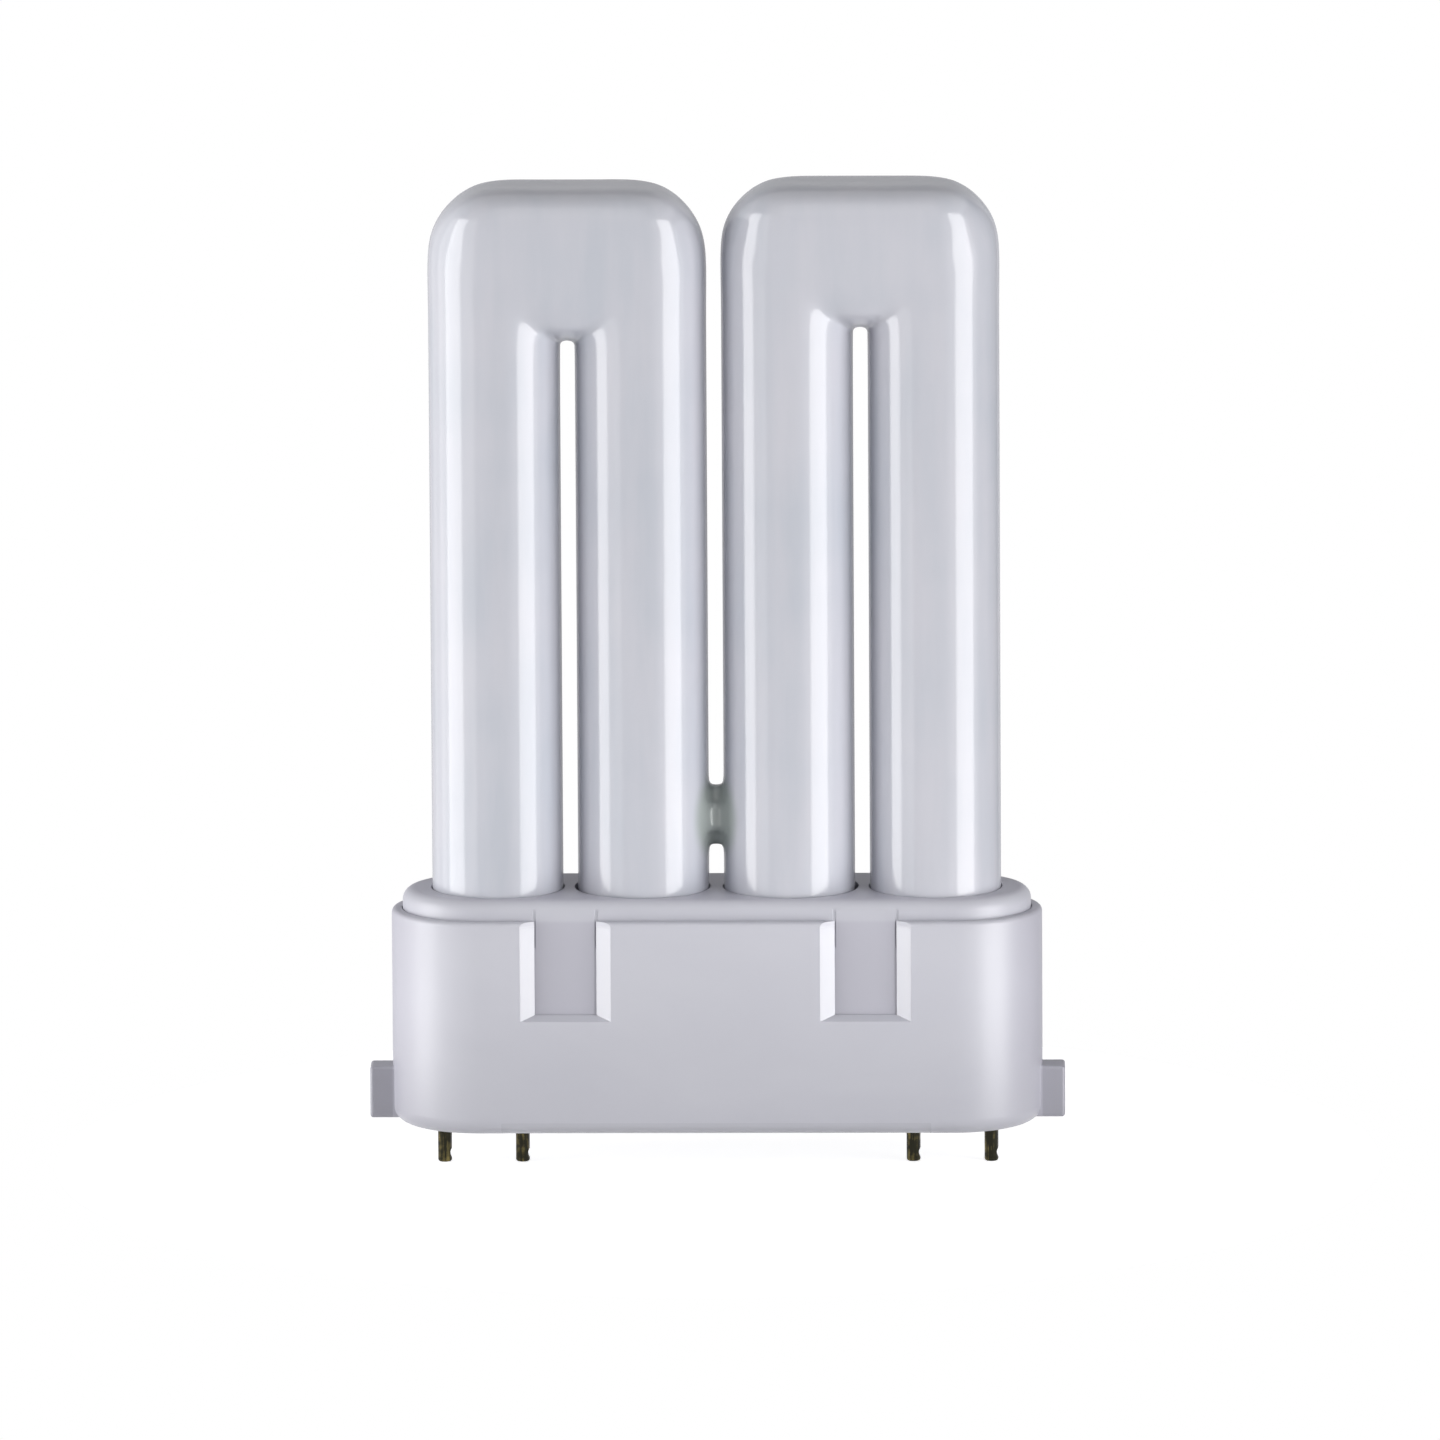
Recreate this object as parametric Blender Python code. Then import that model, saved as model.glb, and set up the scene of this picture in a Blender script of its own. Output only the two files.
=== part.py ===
"""Pin-base compact fluorescent lamp.

Four glass legs stand in one row on a moulded cap with four contact pins in line.
X runs along the row, the front faces -Y, +Z is up and the origin is the centre of the cap's seat.
All sizes are in metres.
"""

import math

import bmesh
import bpy
from mathutils import Matrix, Vector

# Discharge tube
TUBE_DIAMETER = 0.0169
LEG_GAP = 0.0018
OVERALL_LENGTH = 0.1219
LEFT_CROWN_DROP = 0.0004
LEFT_BEND_HEIGHT = 0.0207
RIGHT_BEND_HEIGHT = 0.0191
LEFT_CORNER_RADIUS = 0.0095
RIGHT_CORNER_RADIUS = 0.0082
CROWN_SQUARENESS = 3.4
SADDLE_SQUARENESS = 2.5
LEG_INSERT = 0.0095
SEAL_TAPER = 0.0045
SEAL_LENGTH = 0.0030
SEAL_WIDTH = 0.0124
SEAL_THICKNESS = 0.0034
DOME_DEPTH = 0.0060
EXHAUST_TIP_DIAMETER = 0.0034
EXHAUST_TIP_LENGTH = 0.0040
BRIDGE_HEIGHT = 0.0072
BRIDGE_DEPTH = 0.0066
BRIDGE_RISE = 0.00915
BRIDGE_FILLET = 0.0011
BRIDGE_SWEEP = 0.0030
BRIDGE_SEAM_WIDTH = 0.0004
BRIDGE_SEAM_DEPTH = 0.00015

# Tube holder, the lid of the cap
LEG_CLEARANCE = 0.0003
INNER_HOLE_EASE = 0.00015
HOLDER_WALL = 0.0012
HOLDER_END_LAND = 0.00335
HOLDER_RISE = 0.00265
HOLDER_EDGE_RADIUS = 0.0016
PLATE_THICKNESS = 0.0020
SKIRT_THICKNESS = 0.0010
SKIRT_DEPTH = 0.0035
TONGUE_OVERLAP = 0.00045
TONGUE_TUCK = 0.0008
TONGUE_MARK_WIDTH = 0.0004
TONGUE_MARK_DEPTH = 0.0002

# Base housing
HOUSING_HEIGHT = 0.0278
HOUSING_WALL = 0.0013
FLOOR_THICKNESS = 0.0020
HOLDER_FIT = 0.00025
RIM_RADIUS = 0.0006
RIM_LAND = 0.0002
SEAT_EDGE_RADIUS = 0.0022
RECESS_SPACING = 0.0384
RECESS_WIDTH = 0.0079
RECESS_FLARE = 0.0019
RECESS_SILL = 0.0156
RECESS_SILL_DROP = 0.0007
RECESS_LAND = 0.0003
RIB_WIDTH = 0.0014
RIB_DEPTH = 0.0013
LUG_LENGTH = 0.0029
LUG_HEIGHT = 0.0067
LUG_DEPTH = 0.0046
LUG_RISE = 0.0006
LUG_EDGE_RADIUS = 0.0004
LUG_ROOT = 0.0011

# Contact pins and lead wires
PIN_PITCH = 0.0100
PIN_PAIR_OUTSET = 0.00205
PIN_DIAMETER = 0.0018
PIN_BORE = 0.0010
PIN_REACH = 0.0055
PIN_TIP_RADIUS = 0.0003
PIN_HEAD = 0.0016
COLLAR_DIAMETER = 0.0036
COLLAR_THICKNESS = 0.0008
CRIMP_RISE = 0.0011
CRIMP_RADIUS = 0.0010
CRIMP_DEPTH = 0.00022
BOSS_DIAMETER = 0.0052
BOSS_HEIGHT = 0.0030
WIRE_DIAMETER = 0.0005
WIRE_SPREAD = 0.0052
WIRE_SOCKET = 0.0018

# Basing cement
CEMENT_DEPTH = 0.0040
CEMENT_HALF_DEPTH = 0.0070

# Gap kept between pieces that seat on each other
SEAT_GAP = 0.0003

# Facets
TUBE_SIDES = 36
BRIDGE_SIDES = 24
CORNER_STEPS = 8
END_STEPS = 20
FILLET_STEPS = 4
PIN_SIDES = 20
WIRE_SIDES = 8

# Places worked out from the sizes above
TUBE_RADIUS = TUBE_DIAMETER / 2
LEG_PITCH = TUBE_DIAMETER + LEG_GAP
INNER_LEG_X = LEG_PITCH / 2
OUTER_LEG_X = LEG_PITCH * 1.5
PIN_PAIR_X = OUTER_LEG_X + PIN_PAIR_OUTSET
HOLE_RADIUS = TUBE_RADIUS + LEG_CLEARANCE
HOLDER_HALF_DEPTH = HOLE_RADIUS + HOLDER_WALL
HOLDER_HALF_LENGTH = OUTER_LEG_X + HOLE_RADIUS + HOLDER_END_LAND
HOLDER_TOP = HOUSING_HEIGHT + HOLDER_RISE
PLATE_UNDERSIDE = HOLDER_TOP - PLATE_THICKNESS
SKIRT_END = HOUSING_HEIGHT - SKIRT_DEPTH
TONGUE_END = RECESS_SILL - TONGUE_TUCK
TONGUE_HALF_WIDTH = RECESS_WIDTH / 2 + TONGUE_OVERLAP
HOUSING_HALF_DEPTH = HOLDER_HALF_DEPTH + HOLDER_FIT + HOUSING_WALL
HOUSING_HALF_LENGTH = HOLDER_HALF_LENGTH + HOLDER_FIT + HOUSING_WALL
END_CENTRE_X = HOLDER_HALF_LENGTH - HOLDER_HALF_DEPTH
SLOT_RADIUS = LEG_GAP / 2
LEG_END = HOLDER_TOP - LEG_INSERT
SEAL_END = LEG_END - SEAL_TAPER - SEAL_LENGTH
BRIDGE_Z = HOLDER_TOP + BRIDGE_RISE
BOSS_TOP = FLOOR_THICKNESS + BOSS_HEIGHT
COLLAR_SEAT = BOSS_TOP + SEAT_GAP
PIN_TOP = COLLAR_SEAT + PIN_HEAD
PIN_TIP = -PIN_REACH


def remove_everything():
    """Start from an empty scene."""
    for old in list(bpy.data.objects):
        bpy.data.objects.remove(old, do_unlink=True)


def material(name, colour, roughness, metallic=0.0):
    """A plain Principled BSDF material."""
    made = bpy.data.materials.new(name)
    made.use_nodes = True
    shader = made.node_tree.nodes["Principled BSDF"]
    shader.inputs["Base Color"].default_value = (*colour, 1.0)
    shader.inputs["Roughness"].default_value = roughness
    shader.inputs["Metallic"].default_value = metallic
    return made


def glass_material():
    return material("phosphor_coated_glass", (0.56, 0.56, 0.60), 0.12)


def housing_material():
    return material("housing_plastic", (0.55, 0.55, 0.59), 0.35)


def holder_material():
    return material("holder_plastic", (0.53, 0.53, 0.57), 0.38)


def pin_material():
    return material("pin_brass", (0.42, 0.36, 0.20), 0.30, 1.0)


def wire_material():
    return material("wire_nickel", (0.60, 0.58, 0.54), 0.35, 1.0)


def cement_material():
    return material("basing_cement", (0.68, 0.66, 0.60), 0.85)


def add_object(name, bm, finish, smooth_angle=40.0):
    """Turn a bmesh into an object of the lamp, shaded smooth up to an angle."""
    bmesh.ops.recalc_face_normals(bm, faces=bm.faces)
    mesh = bpy.data.meshes.new(name)
    bm.to_mesh(mesh)
    bm.free()
    mesh.shade_smooth()
    mesh.set_sharp_from_angle(angle=math.radians(smooth_angle))
    mesh.materials.append(finish)
    made = bpy.data.objects.new(name, mesh)
    bpy.context.scene.collection.objects.link(made)
    return made


def add_cutter(name, bm):
    """A helper solid that only a Boolean uses."""
    bmesh.ops.recalc_face_normals(bm, faces=bm.faces)
    mesh = bpy.data.meshes.new(name)
    bm.to_mesh(mesh)
    bm.free()
    helper = bpy.data.objects.new(name, mesh)
    helper.hide_render = True
    helper.display_type = "WIRE"
    bpy.context.scene.collection.objects.link(helper)
    return helper


def boolean(target, helper, operation):
    """Cut a helper from an object, or join it on."""
    step = target.modifiers.new(helper.name, "BOOLEAN")
    step.operation = operation
    step.solver = "EXACT"
    step.object = helper


def bridge_rings(bm, rings, closed=False):
    """Skin a list of rings of equal count, with a cap on each end unless the rings run round."""
    verts = [[bm.verts.new(point) for point in ring] for ring in rings]
    count = len(verts[0])
    pairs = list(zip(verts, verts[1:]))
    if closed:
        pairs.append((verts[-1], verts[0]))
    for lower, upper in pairs:
        for i in range(count):
            j = (i + 1) % count
            bm.faces.new((lower[i], lower[j], upper[j], upper[i]))
    if not closed:
        bm.faces.new(verts[0])
        bm.faces.new(verts[-1])


def smoothstep(t):
    return t * t * (3 - 2 * t)


def superellipse(angle, half_a, half_b, exponent):
    """A point on a superellipse; an exponent of 2 gives an ellipse."""
    cosine = math.cos(angle)
    sine = math.sin(angle)
    a = math.copysign(abs(cosine) ** (2 / exponent), cosine) * half_a
    b = math.copysign(abs(sine) ** (2 / exponent), sine) * half_b
    return a, b


def stadium(half_length, half_depth, z):
    """A ring in the shape of a stadium: two straight sides and two half-round ends."""
    centre = half_length - half_depth
    ring = []
    for side in (1, -1):
        for i in range(END_STEPS + 1):
            angle = math.pi / 2 * (2 * i / END_STEPS - 1)
            x = side * (centre + half_depth * math.cos(angle))
            y = side * half_depth * math.sin(angle)
            ring.append(Vector((x, y, z)))
    return ring


def stadium_shell(half_length, half_depth, profile):
    """Rings of a stadium, one for each inset and height of a profile."""
    return [stadium(half_length - inset, half_depth - inset, z) for inset, z in profile]


def quarter_round(inset, z, radius, start, end):
    """Profile points of a rounded edge about a centre at an inset and a height."""
    points = []
    for i in range(FILLET_STEPS + 1):
        angle = math.radians(start + (end - start) * i / FILLET_STEPS)
        points.append((inset - radius * math.cos(angle), z + radius * math.sin(angle)))
    return points


def box(bm, low, high):
    """A box between two corners."""
    size = [b - a for a, b in zip(low, high)]
    centre = [(a + b) / 2 for a, b in zip(low, high)]
    place = Matrix.Translation(centre) @ Matrix.Diagonal((*size, 1))
    bmesh.ops.create_cube(bm, size=1, matrix=place)


def cylinder(bm, x, y, low, high, radius, sides):
    """An upright cylinder between two heights."""
    place = Matrix.Translation((x, y, (low + high) / 2))
    bmesh.ops.create_cone(
        bm, cap_ends=True, segments=sides, radius1=radius, radius2=radius, depth=high - low, matrix=place
    )


def bend_outline(bend_height, corner_radius):
    """Points of the bend's outer outline from one leg to the other, about the slot's centre."""
    half_width = SLOT_RADIUS + TUBE_DIAMETER
    height = SLOT_RADIUS + bend_height
    corner = min(corner_radius, height, half_width)
    side_steps = 3
    top_steps = 3
    points = []
    for i in range(side_steps):
        points.append((half_width, (height - corner) * i / side_steps))
    for i in range(CORNER_STEPS + 1):
        angle = math.pi / 2 * i / CORNER_STEPS
        across = half_width - corner + corner * math.cos(angle)
        up = height - corner + corner * math.sin(angle)
        points.append((across, up))
    for i in range(1, top_steps):
        points.append(((half_width - corner) * (1 - i / top_steps), height))
    mirrored = [(-across, up) for across, up in reversed(points)]
    return points + [(0.0, height)] + mirrored


def bend_ring(side, slot_z, across, up):
    """One ring of the bend, in the plane through the slot's centre and an outline point."""
    reach = math.hypot(across, up)
    middle = (reach + SLOT_RADIUS) / 2
    half = (reach - SLOT_RADIUS) / 2
    rise = up / reach
    crown_exponent = 2 + (CROWN_SQUARENESS - 2) * smoothstep(rise)
    saddle_exponent = 2 + (SADDLE_SQUARENESS - 2) * smoothstep(rise)
    ring = []
    for i in range(TUBE_SIDES):
        angle = 2 * math.pi * i / TUBE_SIDES
        exponent = crown_exponent if math.cos(angle) > 0 else saddle_exponent
        out, y = superellipse(angle, half, TUBE_RADIUS, exponent)
        distance = middle + out
        x = side * (LEG_PITCH + distance * across / reach)
        z = slot_z + distance * rise
        ring.append(Vector((x, y, z)))
    return ring


def leg_ring(x, z, side, half_width, half_thickness, exponent=2):
    """One level ring of a leg, a seal or a closed end."""
    ring = []
    for i in range(TUBE_SIDES):
        angle = 2 * math.pi * i / TUBE_SIDES
        across, y = superellipse(angle, half_width, half_thickness, exponent)
        ring.append(Vector((x + side * across, y, z)))
    return ring


def pinch_seal_rings(x, side):
    """The flattened end of an outer leg, from its tip up to the round leg."""
    seal_squareness = 5
    taper_steps = 5
    rings = [
        leg_ring(x, SEAL_END, side, SEAL_WIDTH / 2, SEAL_THICKNESS / 2, seal_squareness),
        leg_ring(x, SEAL_END + SEAL_LENGTH, side, SEAL_WIDTH / 2, SEAL_THICKNESS / 2, seal_squareness),
    ]
    for i in range(1, taper_steps + 1):
        t = smoothstep(i / taper_steps)
        z = SEAL_END + SEAL_LENGTH + SEAL_TAPER * i / taper_steps
        width = SEAL_WIDTH / 2 + (TUBE_RADIUS - SEAL_WIDTH / 2) * t
        thickness = SEAL_THICKNESS / 2 + (TUBE_RADIUS - SEAL_THICKNESS / 2) * t
        exponent = seal_squareness + (2 - seal_squareness) * t
        rings.append(leg_ring(x, z, side, width, thickness, exponent))
    return rings


def closed_end_rings(x, side):
    """The domed end of an inner leg with its exhaust tip, from the round leg down."""
    tip_radius = EXHAUST_TIP_DIAMETER / 2
    dome_steps = 5
    tip_steps = 3
    rings = []
    reach = math.acos(tip_radius / TUBE_RADIUS)
    for i in range(dome_steps + 1):
        angle = reach * i / dome_steps
        radius = TUBE_RADIUS * math.cos(angle)
        z = LEG_END - DOME_DEPTH * math.sin(angle) / math.sin(reach)
        rings.append(leg_ring(x, z, side, radius, radius))
    tip_centre = LEG_END - DOME_DEPTH - EXHAUST_TIP_LENGTH + tip_radius
    for i in range(tip_steps + 1):
        angle = math.radians(75) * i / tip_steps
        radius = tip_radius * math.cos(angle)
        rings.append(leg_ring(x, tip_centre - tip_radius * math.sin(angle), side, radius, radius))
    return rings


def bent_tube(bm, side, crown, bend_height, corner_radius):
    """One bent tube: pinch seal, outer leg, bend, inner leg and closed end in one skin."""
    slot_z = crown - bend_height - SLOT_RADIUS
    rings = pinch_seal_rings(side * OUTER_LEG_X, side)
    for across, up in bend_outline(bend_height, corner_radius):
        rings.append(bend_ring(side, slot_z, across, up))
    rings += closed_end_rings(side * INNER_LEG_X, -side)
    bridge_rings(bm, rings)


def hollow(radius, x, limit):
    """How far a hollow rounding has risen at a distance from its lowest line, up to a limit in degrees."""
    reach = min(x, radius * math.sin(math.radians(limit)))
    return radius - math.sqrt(radius**2 - reach**2)


def bridge_neck(bm):
    """The fused bridge between the middle legs, a neck that sweeps into both legs from a fine seam."""
    flare_steps = 8
    flare_end = BRIDGE_SWEEP * math.sin(math.radians(50))
    profile = [(0.0, BRIDGE_HEIGHT / 2, BRIDGE_DEPTH / 2 - BRIDGE_SEAM_DEPTH)]
    for i in range(flare_steps + 1):
        x = BRIDGE_SEAM_WIDTH / 2 + (flare_end - BRIDGE_SEAM_WIDTH / 2) * i / flare_steps
        half_height = BRIDGE_HEIGHT / 2 + hollow(BRIDGE_FILLET, x, 80)
        half_depth = BRIDGE_DEPTH / 2 + hollow(BRIDGE_SWEEP, x, 50)
        profile.append((x, half_height, half_depth))
    profile.append((INNER_LEG_X - TUBE_RADIUS / 2, BRIDGE_HEIGHT / 2, BRIDGE_DEPTH / 2))
    stations = [(-x, height, depth) for x, height, depth in reversed(profile)] + profile[1:]
    rings = []
    for x, half_height, half_depth in stations:
        ring = []
        for i in range(BRIDGE_SIDES):
            angle = 2 * math.pi * i / BRIDGE_SIDES
            y = half_depth * math.cos(angle)
            z = BRIDGE_Z + half_height * math.sin(angle)
            ring.append(Vector((x, y, z)))
        rings.append(ring)
    bridge_rings(bm, rings)


def wire_places():
    """The four wires from left to right: place in the seal and place of the pin."""
    places = []
    for side in (-1, 1):
        for half in (-1, 1):
            seal_x = side * OUTER_LEG_X + half * WIRE_SPREAD / 2
            pin_x = side * PIN_PAIR_X + half * PIN_PITCH / 2
            places.append((seal_x, pin_x))
    return places


def make_discharge_tube():
    """The sealed glass: two bent tubes, the bridge and the wire holes in the seals."""
    bm = bmesh.new()
    bent_tube(bm, 1, OVERALL_LENGTH, RIGHT_BEND_HEIGHT, RIGHT_CORNER_RADIUS)
    tube = add_object("discharge_tube", bm, glass_material(), 50)

    bm = bmesh.new()
    bent_tube(bm, -1, OVERALL_LENGTH - LEFT_CROWN_DROP, LEFT_BEND_HEIGHT, LEFT_CORNER_RADIUS)
    boolean(tube, add_cutter("left_tube", bm), "UNION")

    bm = bmesh.new()
    bridge_neck(bm)
    boolean(tube, add_cutter("bridge_neck", bm), "UNION")

    bm = bmesh.new()
    hole_radius = WIRE_DIAMETER / 2 + SEAT_GAP
    for seal_x, _ in wire_places():
        cylinder(bm, seal_x, 0, SEAL_END - SEAL_LENGTH, SEAL_END + WIRE_SOCKET, hole_radius, WIRE_SIDES)
    boolean(tube, add_cutter("wire_holes", bm), "DIFFERENCE")
    return tube


def make_tube_holder():
    """The lid: plate, skirt and four tongues, with a hole for each leg."""
    edge = HOLDER_EDGE_RADIUS
    profile = [
        (SKIRT_THICKNESS, PLATE_UNDERSIDE),
        (SKIRT_THICKNESS, TONGUE_END),
        (0.0, TONGUE_END),
    ]
    profile += quarter_round(edge, HOLDER_TOP - edge, edge, 0, 90)
    bm = bmesh.new()
    bridge_rings(bm, stadium_shell(HOLDER_HALF_LENGTH, HOLDER_HALF_DEPTH, profile))
    holder = add_object("tube_holder", bm, holder_material())

    bm = bmesh.new()
    beyond = HOLDER_WALL
    for side in (-1, 1):
        inner_x = side * (INNER_LEG_X + INNER_HOLE_EASE)
        low = PLATE_UNDERSIDE - beyond
        high = HOLDER_TOP + beyond
        cylinder(bm, inner_x, 0, low, high, HOLE_RADIUS + INNER_HOLE_EASE, TUBE_SIDES)
        cylinder(bm, side * OUTER_LEG_X, 0, low, high, HOLE_RADIUS, TUBE_SIDES)
    boolean(holder, add_cutter("leg_holes", bm), "DIFFERENCE")

    bm = bmesh.new()
    tongue_inner = RECESS_SPACING / 2 - TONGUE_HALF_WIDTH
    tongue_outer = RECESS_SPACING / 2 + TONGUE_HALF_WIDTH
    past_end = HOLDER_HALF_LENGTH + beyond
    across = HOLDER_HALF_DEPTH + beyond
    for low_x, high_x in ((-past_end, -tongue_outer), (-tongue_inner, tongue_inner), (tongue_outer, past_end)):
        box(bm, (low_x, -across, TONGUE_END - beyond), (high_x, across, SKIRT_END))
    boolean(holder, add_cutter("skirt_cutback", bm), "DIFFERENCE")

    bm = bmesh.new()
    for side in (-1, 1):
        for face in (-1, 1):
            for mark in (-1, 1):
                x = side * RECESS_SPACING / 2 + mark * (TONGUE_HALF_WIDTH - TONGUE_MARK_WIDTH)
                near = face * (HOLDER_HALF_DEPTH - TONGUE_MARK_DEPTH)
                far = face * (HOLDER_HALF_DEPTH + beyond)
                low = (x - TONGUE_MARK_WIDTH / 2, min(near, far), SKIRT_END)
                high = (x + TONGUE_MARK_WIDTH / 2, max(near, far), HOLDER_TOP + beyond)
                box(bm, low, high)
    boolean(holder, add_cutter("tongue_marks", bm), "DIFFERENCE")
    return holder


def recess_cutter(bm, x, face):
    """One recess: a flared slot through the wall, open at the rim, with a sloping sill."""
    inner_wall = HOLDER_HALF_DEPTH + HOLDER_FIT
    flare_start = inner_wall + RECESS_LAND
    flare_depth = HOUSING_HALF_DEPTH - flare_start
    above = HOUSING_HEIGHT + HOUSING_WALL
    stations = (
        (inner_wall - HOUSING_WALL / 2, 0.0),
        (flare_start, 0.0),
        (flare_start + 2 * flare_depth, 2.0),
    )
    rings = []
    for y, flare in stations:
        half = RECESS_WIDTH / 2 + RECESS_FLARE * flare
        sill = RECESS_SILL - RECESS_SILL_DROP * flare
        corners = ((-half, sill), (half, sill), (half, above), (-half, above))
        rings.append([Vector((x + across, face * y, z)) for across, z in corners])
    bridge_rings(bm, rings)


def add_lug(bm, side):
    """One end lug, rounded on its edges, let into the end wall."""
    inner_x = side * (HOUSING_HALF_LENGTH - LUG_ROOT)
    outer_x = side * (HOUSING_HALF_LENGTH + LUG_LENGTH)
    low = (min(inner_x, outer_x), -LUG_DEPTH / 2, LUG_RISE)
    high = (max(inner_x, outer_x), LUG_DEPTH / 2, LUG_RISE + LUG_HEIGHT)
    box(bm, low, high)
    edges = [edge for edge in bm.edges if any(vert.co.x != inner_x for vert in edge.verts)]
    bmesh.ops.bevel(
        bm, geom=edges, offset=LUG_EDGE_RADIUS, segments=2, profile=0.5, affect="EDGES", clamp_overlap=True
    )


def make_base_housing():
    """The cap: a stadium tray with lugs, recesses, pin bosses and stop ribs."""
    wall = HOUSING_WALL
    edge = SEAT_EDGE_RADIUS
    rim = min(RIM_RADIUS, wall - RIM_LAND)
    profile = quarter_round(edge, edge, edge, -90, 0)
    profile += quarter_round(rim, HOUSING_HEIGHT - rim, rim, 0, 90)
    profile += [(wall, HOUSING_HEIGHT), (wall, FLOOR_THICKNESS)]
    bm = bmesh.new()
    bridge_rings(bm, stadium_shell(HOUSING_HALF_LENGTH, HOUSING_HALF_DEPTH, profile))
    housing = add_object("base_housing", bm, housing_material())

    for number, side in enumerate((-1, 1), 1):
        bm = bmesh.new()
        add_lug(bm, side)
        boolean(housing, add_cutter(f"lug_{number}", bm), "UNION")

    bm = bmesh.new()
    for _, pin_x in wire_places():
        cylinder(bm, pin_x, 0, FLOOR_THICKNESS / 2, BOSS_TOP, BOSS_DIAMETER / 2, PIN_SIDES)
    boolean(housing, add_cutter("pin_bosses", bm), "UNION")

    bm = bmesh.new()
    inner_wall = HOLDER_HALF_DEPTH + HOLDER_FIT
    for side in (-1, 1):
        for face in (-1, 1):
            for edge_side in (-1, 1):
                x = side * RECESS_SPACING / 2 + edge_side * (TONGUE_HALF_WIDTH - RIB_WIDTH / 2)
                near = face * (inner_wall - RIB_DEPTH)
                far = face * (inner_wall + wall / 2)
                low = (x - RIB_WIDTH / 2, min(near, far), FLOOR_THICKNESS / 2)
                high = (x + RIB_WIDTH / 2, max(near, far), TONGUE_END - SEAT_GAP)
                box(bm, low, high)
    boolean(housing, add_cutter("stop_ribs", bm), "UNION")

    bm = bmesh.new()
    for side in (-1, 1):
        for face in (-1, 1):
            recess_cutter(bm, side * RECESS_SPACING / 2, face)
    boolean(housing, add_cutter("recesses", bm), "DIFFERENCE")

    bm = bmesh.new()
    for _, pin_x in wire_places():
        cylinder(bm, pin_x, 0, -BOSS_HEIGHT, BOSS_TOP + BOSS_HEIGHT, PIN_DIAMETER / 2 + SEAT_GAP, PIN_SIDES)
    boolean(housing, add_cutter("pin_holes", bm), "DIFFERENCE")
    return housing


def pin_rings():
    """Rings round the pin's axis, from the outside of the tip up and back down the bore."""
    outer = PIN_DIAMETER / 2
    bore = PIN_BORE / 2
    tip = PIN_TIP_RADIUS
    profile = [(bore, PIN_TIP), (outer - tip, PIN_TIP)]
    for degrees in (30, 60, 90):
        angle = math.radians(degrees)
        profile.append((outer - tip + tip * math.sin(angle), PIN_TIP + tip - tip * math.cos(angle)))
    profile += [
        (outer, COLLAR_SEAT),
        (COLLAR_DIAMETER / 2, COLLAR_SEAT),
        (COLLAR_DIAMETER / 2, COLLAR_SEAT + COLLAR_THICKNESS),
        (outer, COLLAR_SEAT + COLLAR_THICKNESS),
        (outer, PIN_TOP),
        (bore, PIN_TOP),
    ]
    rings = []
    for radius, z in profile:
        ring = []
        for i in range(PIN_SIDES):
            angle = 2 * math.pi * i / PIN_SIDES
            ring.append(Vector((radius * math.cos(angle), radius * math.sin(angle), z)))
        rings.append(ring)
    return rings


def make_contact_pin(number, x, finish):
    """A hollow pin with a collar, dented by a crimp above its tip."""
    bm = bmesh.new()
    bridge_rings(bm, pin_rings(), closed=True)
    pin = add_object(f"contact_pin_{number}", bm, finish)
    pin.location.x = x

    bm = bmesh.new()
    turn = Matrix.Rotation(math.pi / 2, 4, "X")
    reach = PIN_DIAMETER / 2 + CRIMP_RADIUS - CRIMP_DEPTH
    place = Matrix.Translation((reach, 0, PIN_TIP + CRIMP_RISE)) @ turn
    bmesh.ops.create_cone(
        bm,
        cap_ends=True,
        segments=PIN_SIDES,
        radius1=CRIMP_RADIUS,
        radius2=CRIMP_RADIUS,
        depth=PIN_DIAMETER * 2,
        matrix=place,
    )
    crimp = add_cutter(f"crimp_{number}", bm)
    crimp.location.x = x
    boolean(pin, crimp, "DIFFERENCE")
    return pin


def make_lead_wire(number, seal_x, pin_x, finish):
    """A wire from its socket in the seal, across and down into the pin's bore."""
    top = SEAL_END + WIRE_SOCKET - SEAT_GAP
    bottom = PIN_TIP + 2 * CRIMP_RISE
    bend_steps = 10
    points = [(seal_x, top)]
    for i in range(bend_steps + 1):
        t = i / bend_steps
        z = SEAL_END - (SEAL_END - PIN_TOP) * t
        points.append((seal_x + (pin_x - seal_x) * smoothstep(t), z))
    points.append((pin_x, bottom))
    rings = []
    for i, (x, z) in enumerate(points):
        before = points[max(i - 1, 0)]
        after = points[min(i + 1, len(points) - 1)]
        along = Vector((after[0] - before[0], 0, after[1] - before[1])).normalized()
        across = along.cross(Vector((0, 1, 0)))
        ring = []
        for k in range(WIRE_SIDES):
            angle = 2 * math.pi * k / WIRE_SIDES
            offset = across * math.cos(angle) + Vector((0, 1, 0)) * math.sin(angle)
            ring.append(Vector((x, 0, z)) + offset * WIRE_DIAMETER / 2)
        rings.append(ring)
    bm = bmesh.new()
    bridge_rings(bm, rings)
    return add_object(f"lead_wire_{number}", bm, finish)


def arc(centre_x, radius, half_height, steps, side):
    """An arc about a point of the X axis, from one height to the other, seen from above."""
    reach = math.asin(min(half_height / radius, 1.0))
    points = []
    for i in range(steps + 1):
        angle = reach * (2 * i / steps - 1)
        points.append((centre_x + side * radius * math.cos(angle), radius * math.sin(angle)))
    return points


def make_cement_dab(number, left, right, finish):
    """A dab of cement under the plate, between two arcs seen from above."""
    top = PLATE_UNDERSIDE - SEAT_GAP
    outline = left + list(reversed(right))
    rings = [[Vector((x, y, z)) for x, y in outline] for z in (top - CEMENT_DEPTH, top)]
    bm = bmesh.new()
    bridge_rings(bm, rings)
    return add_object(f"cement_dab_{number}", bm, finish)


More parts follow.
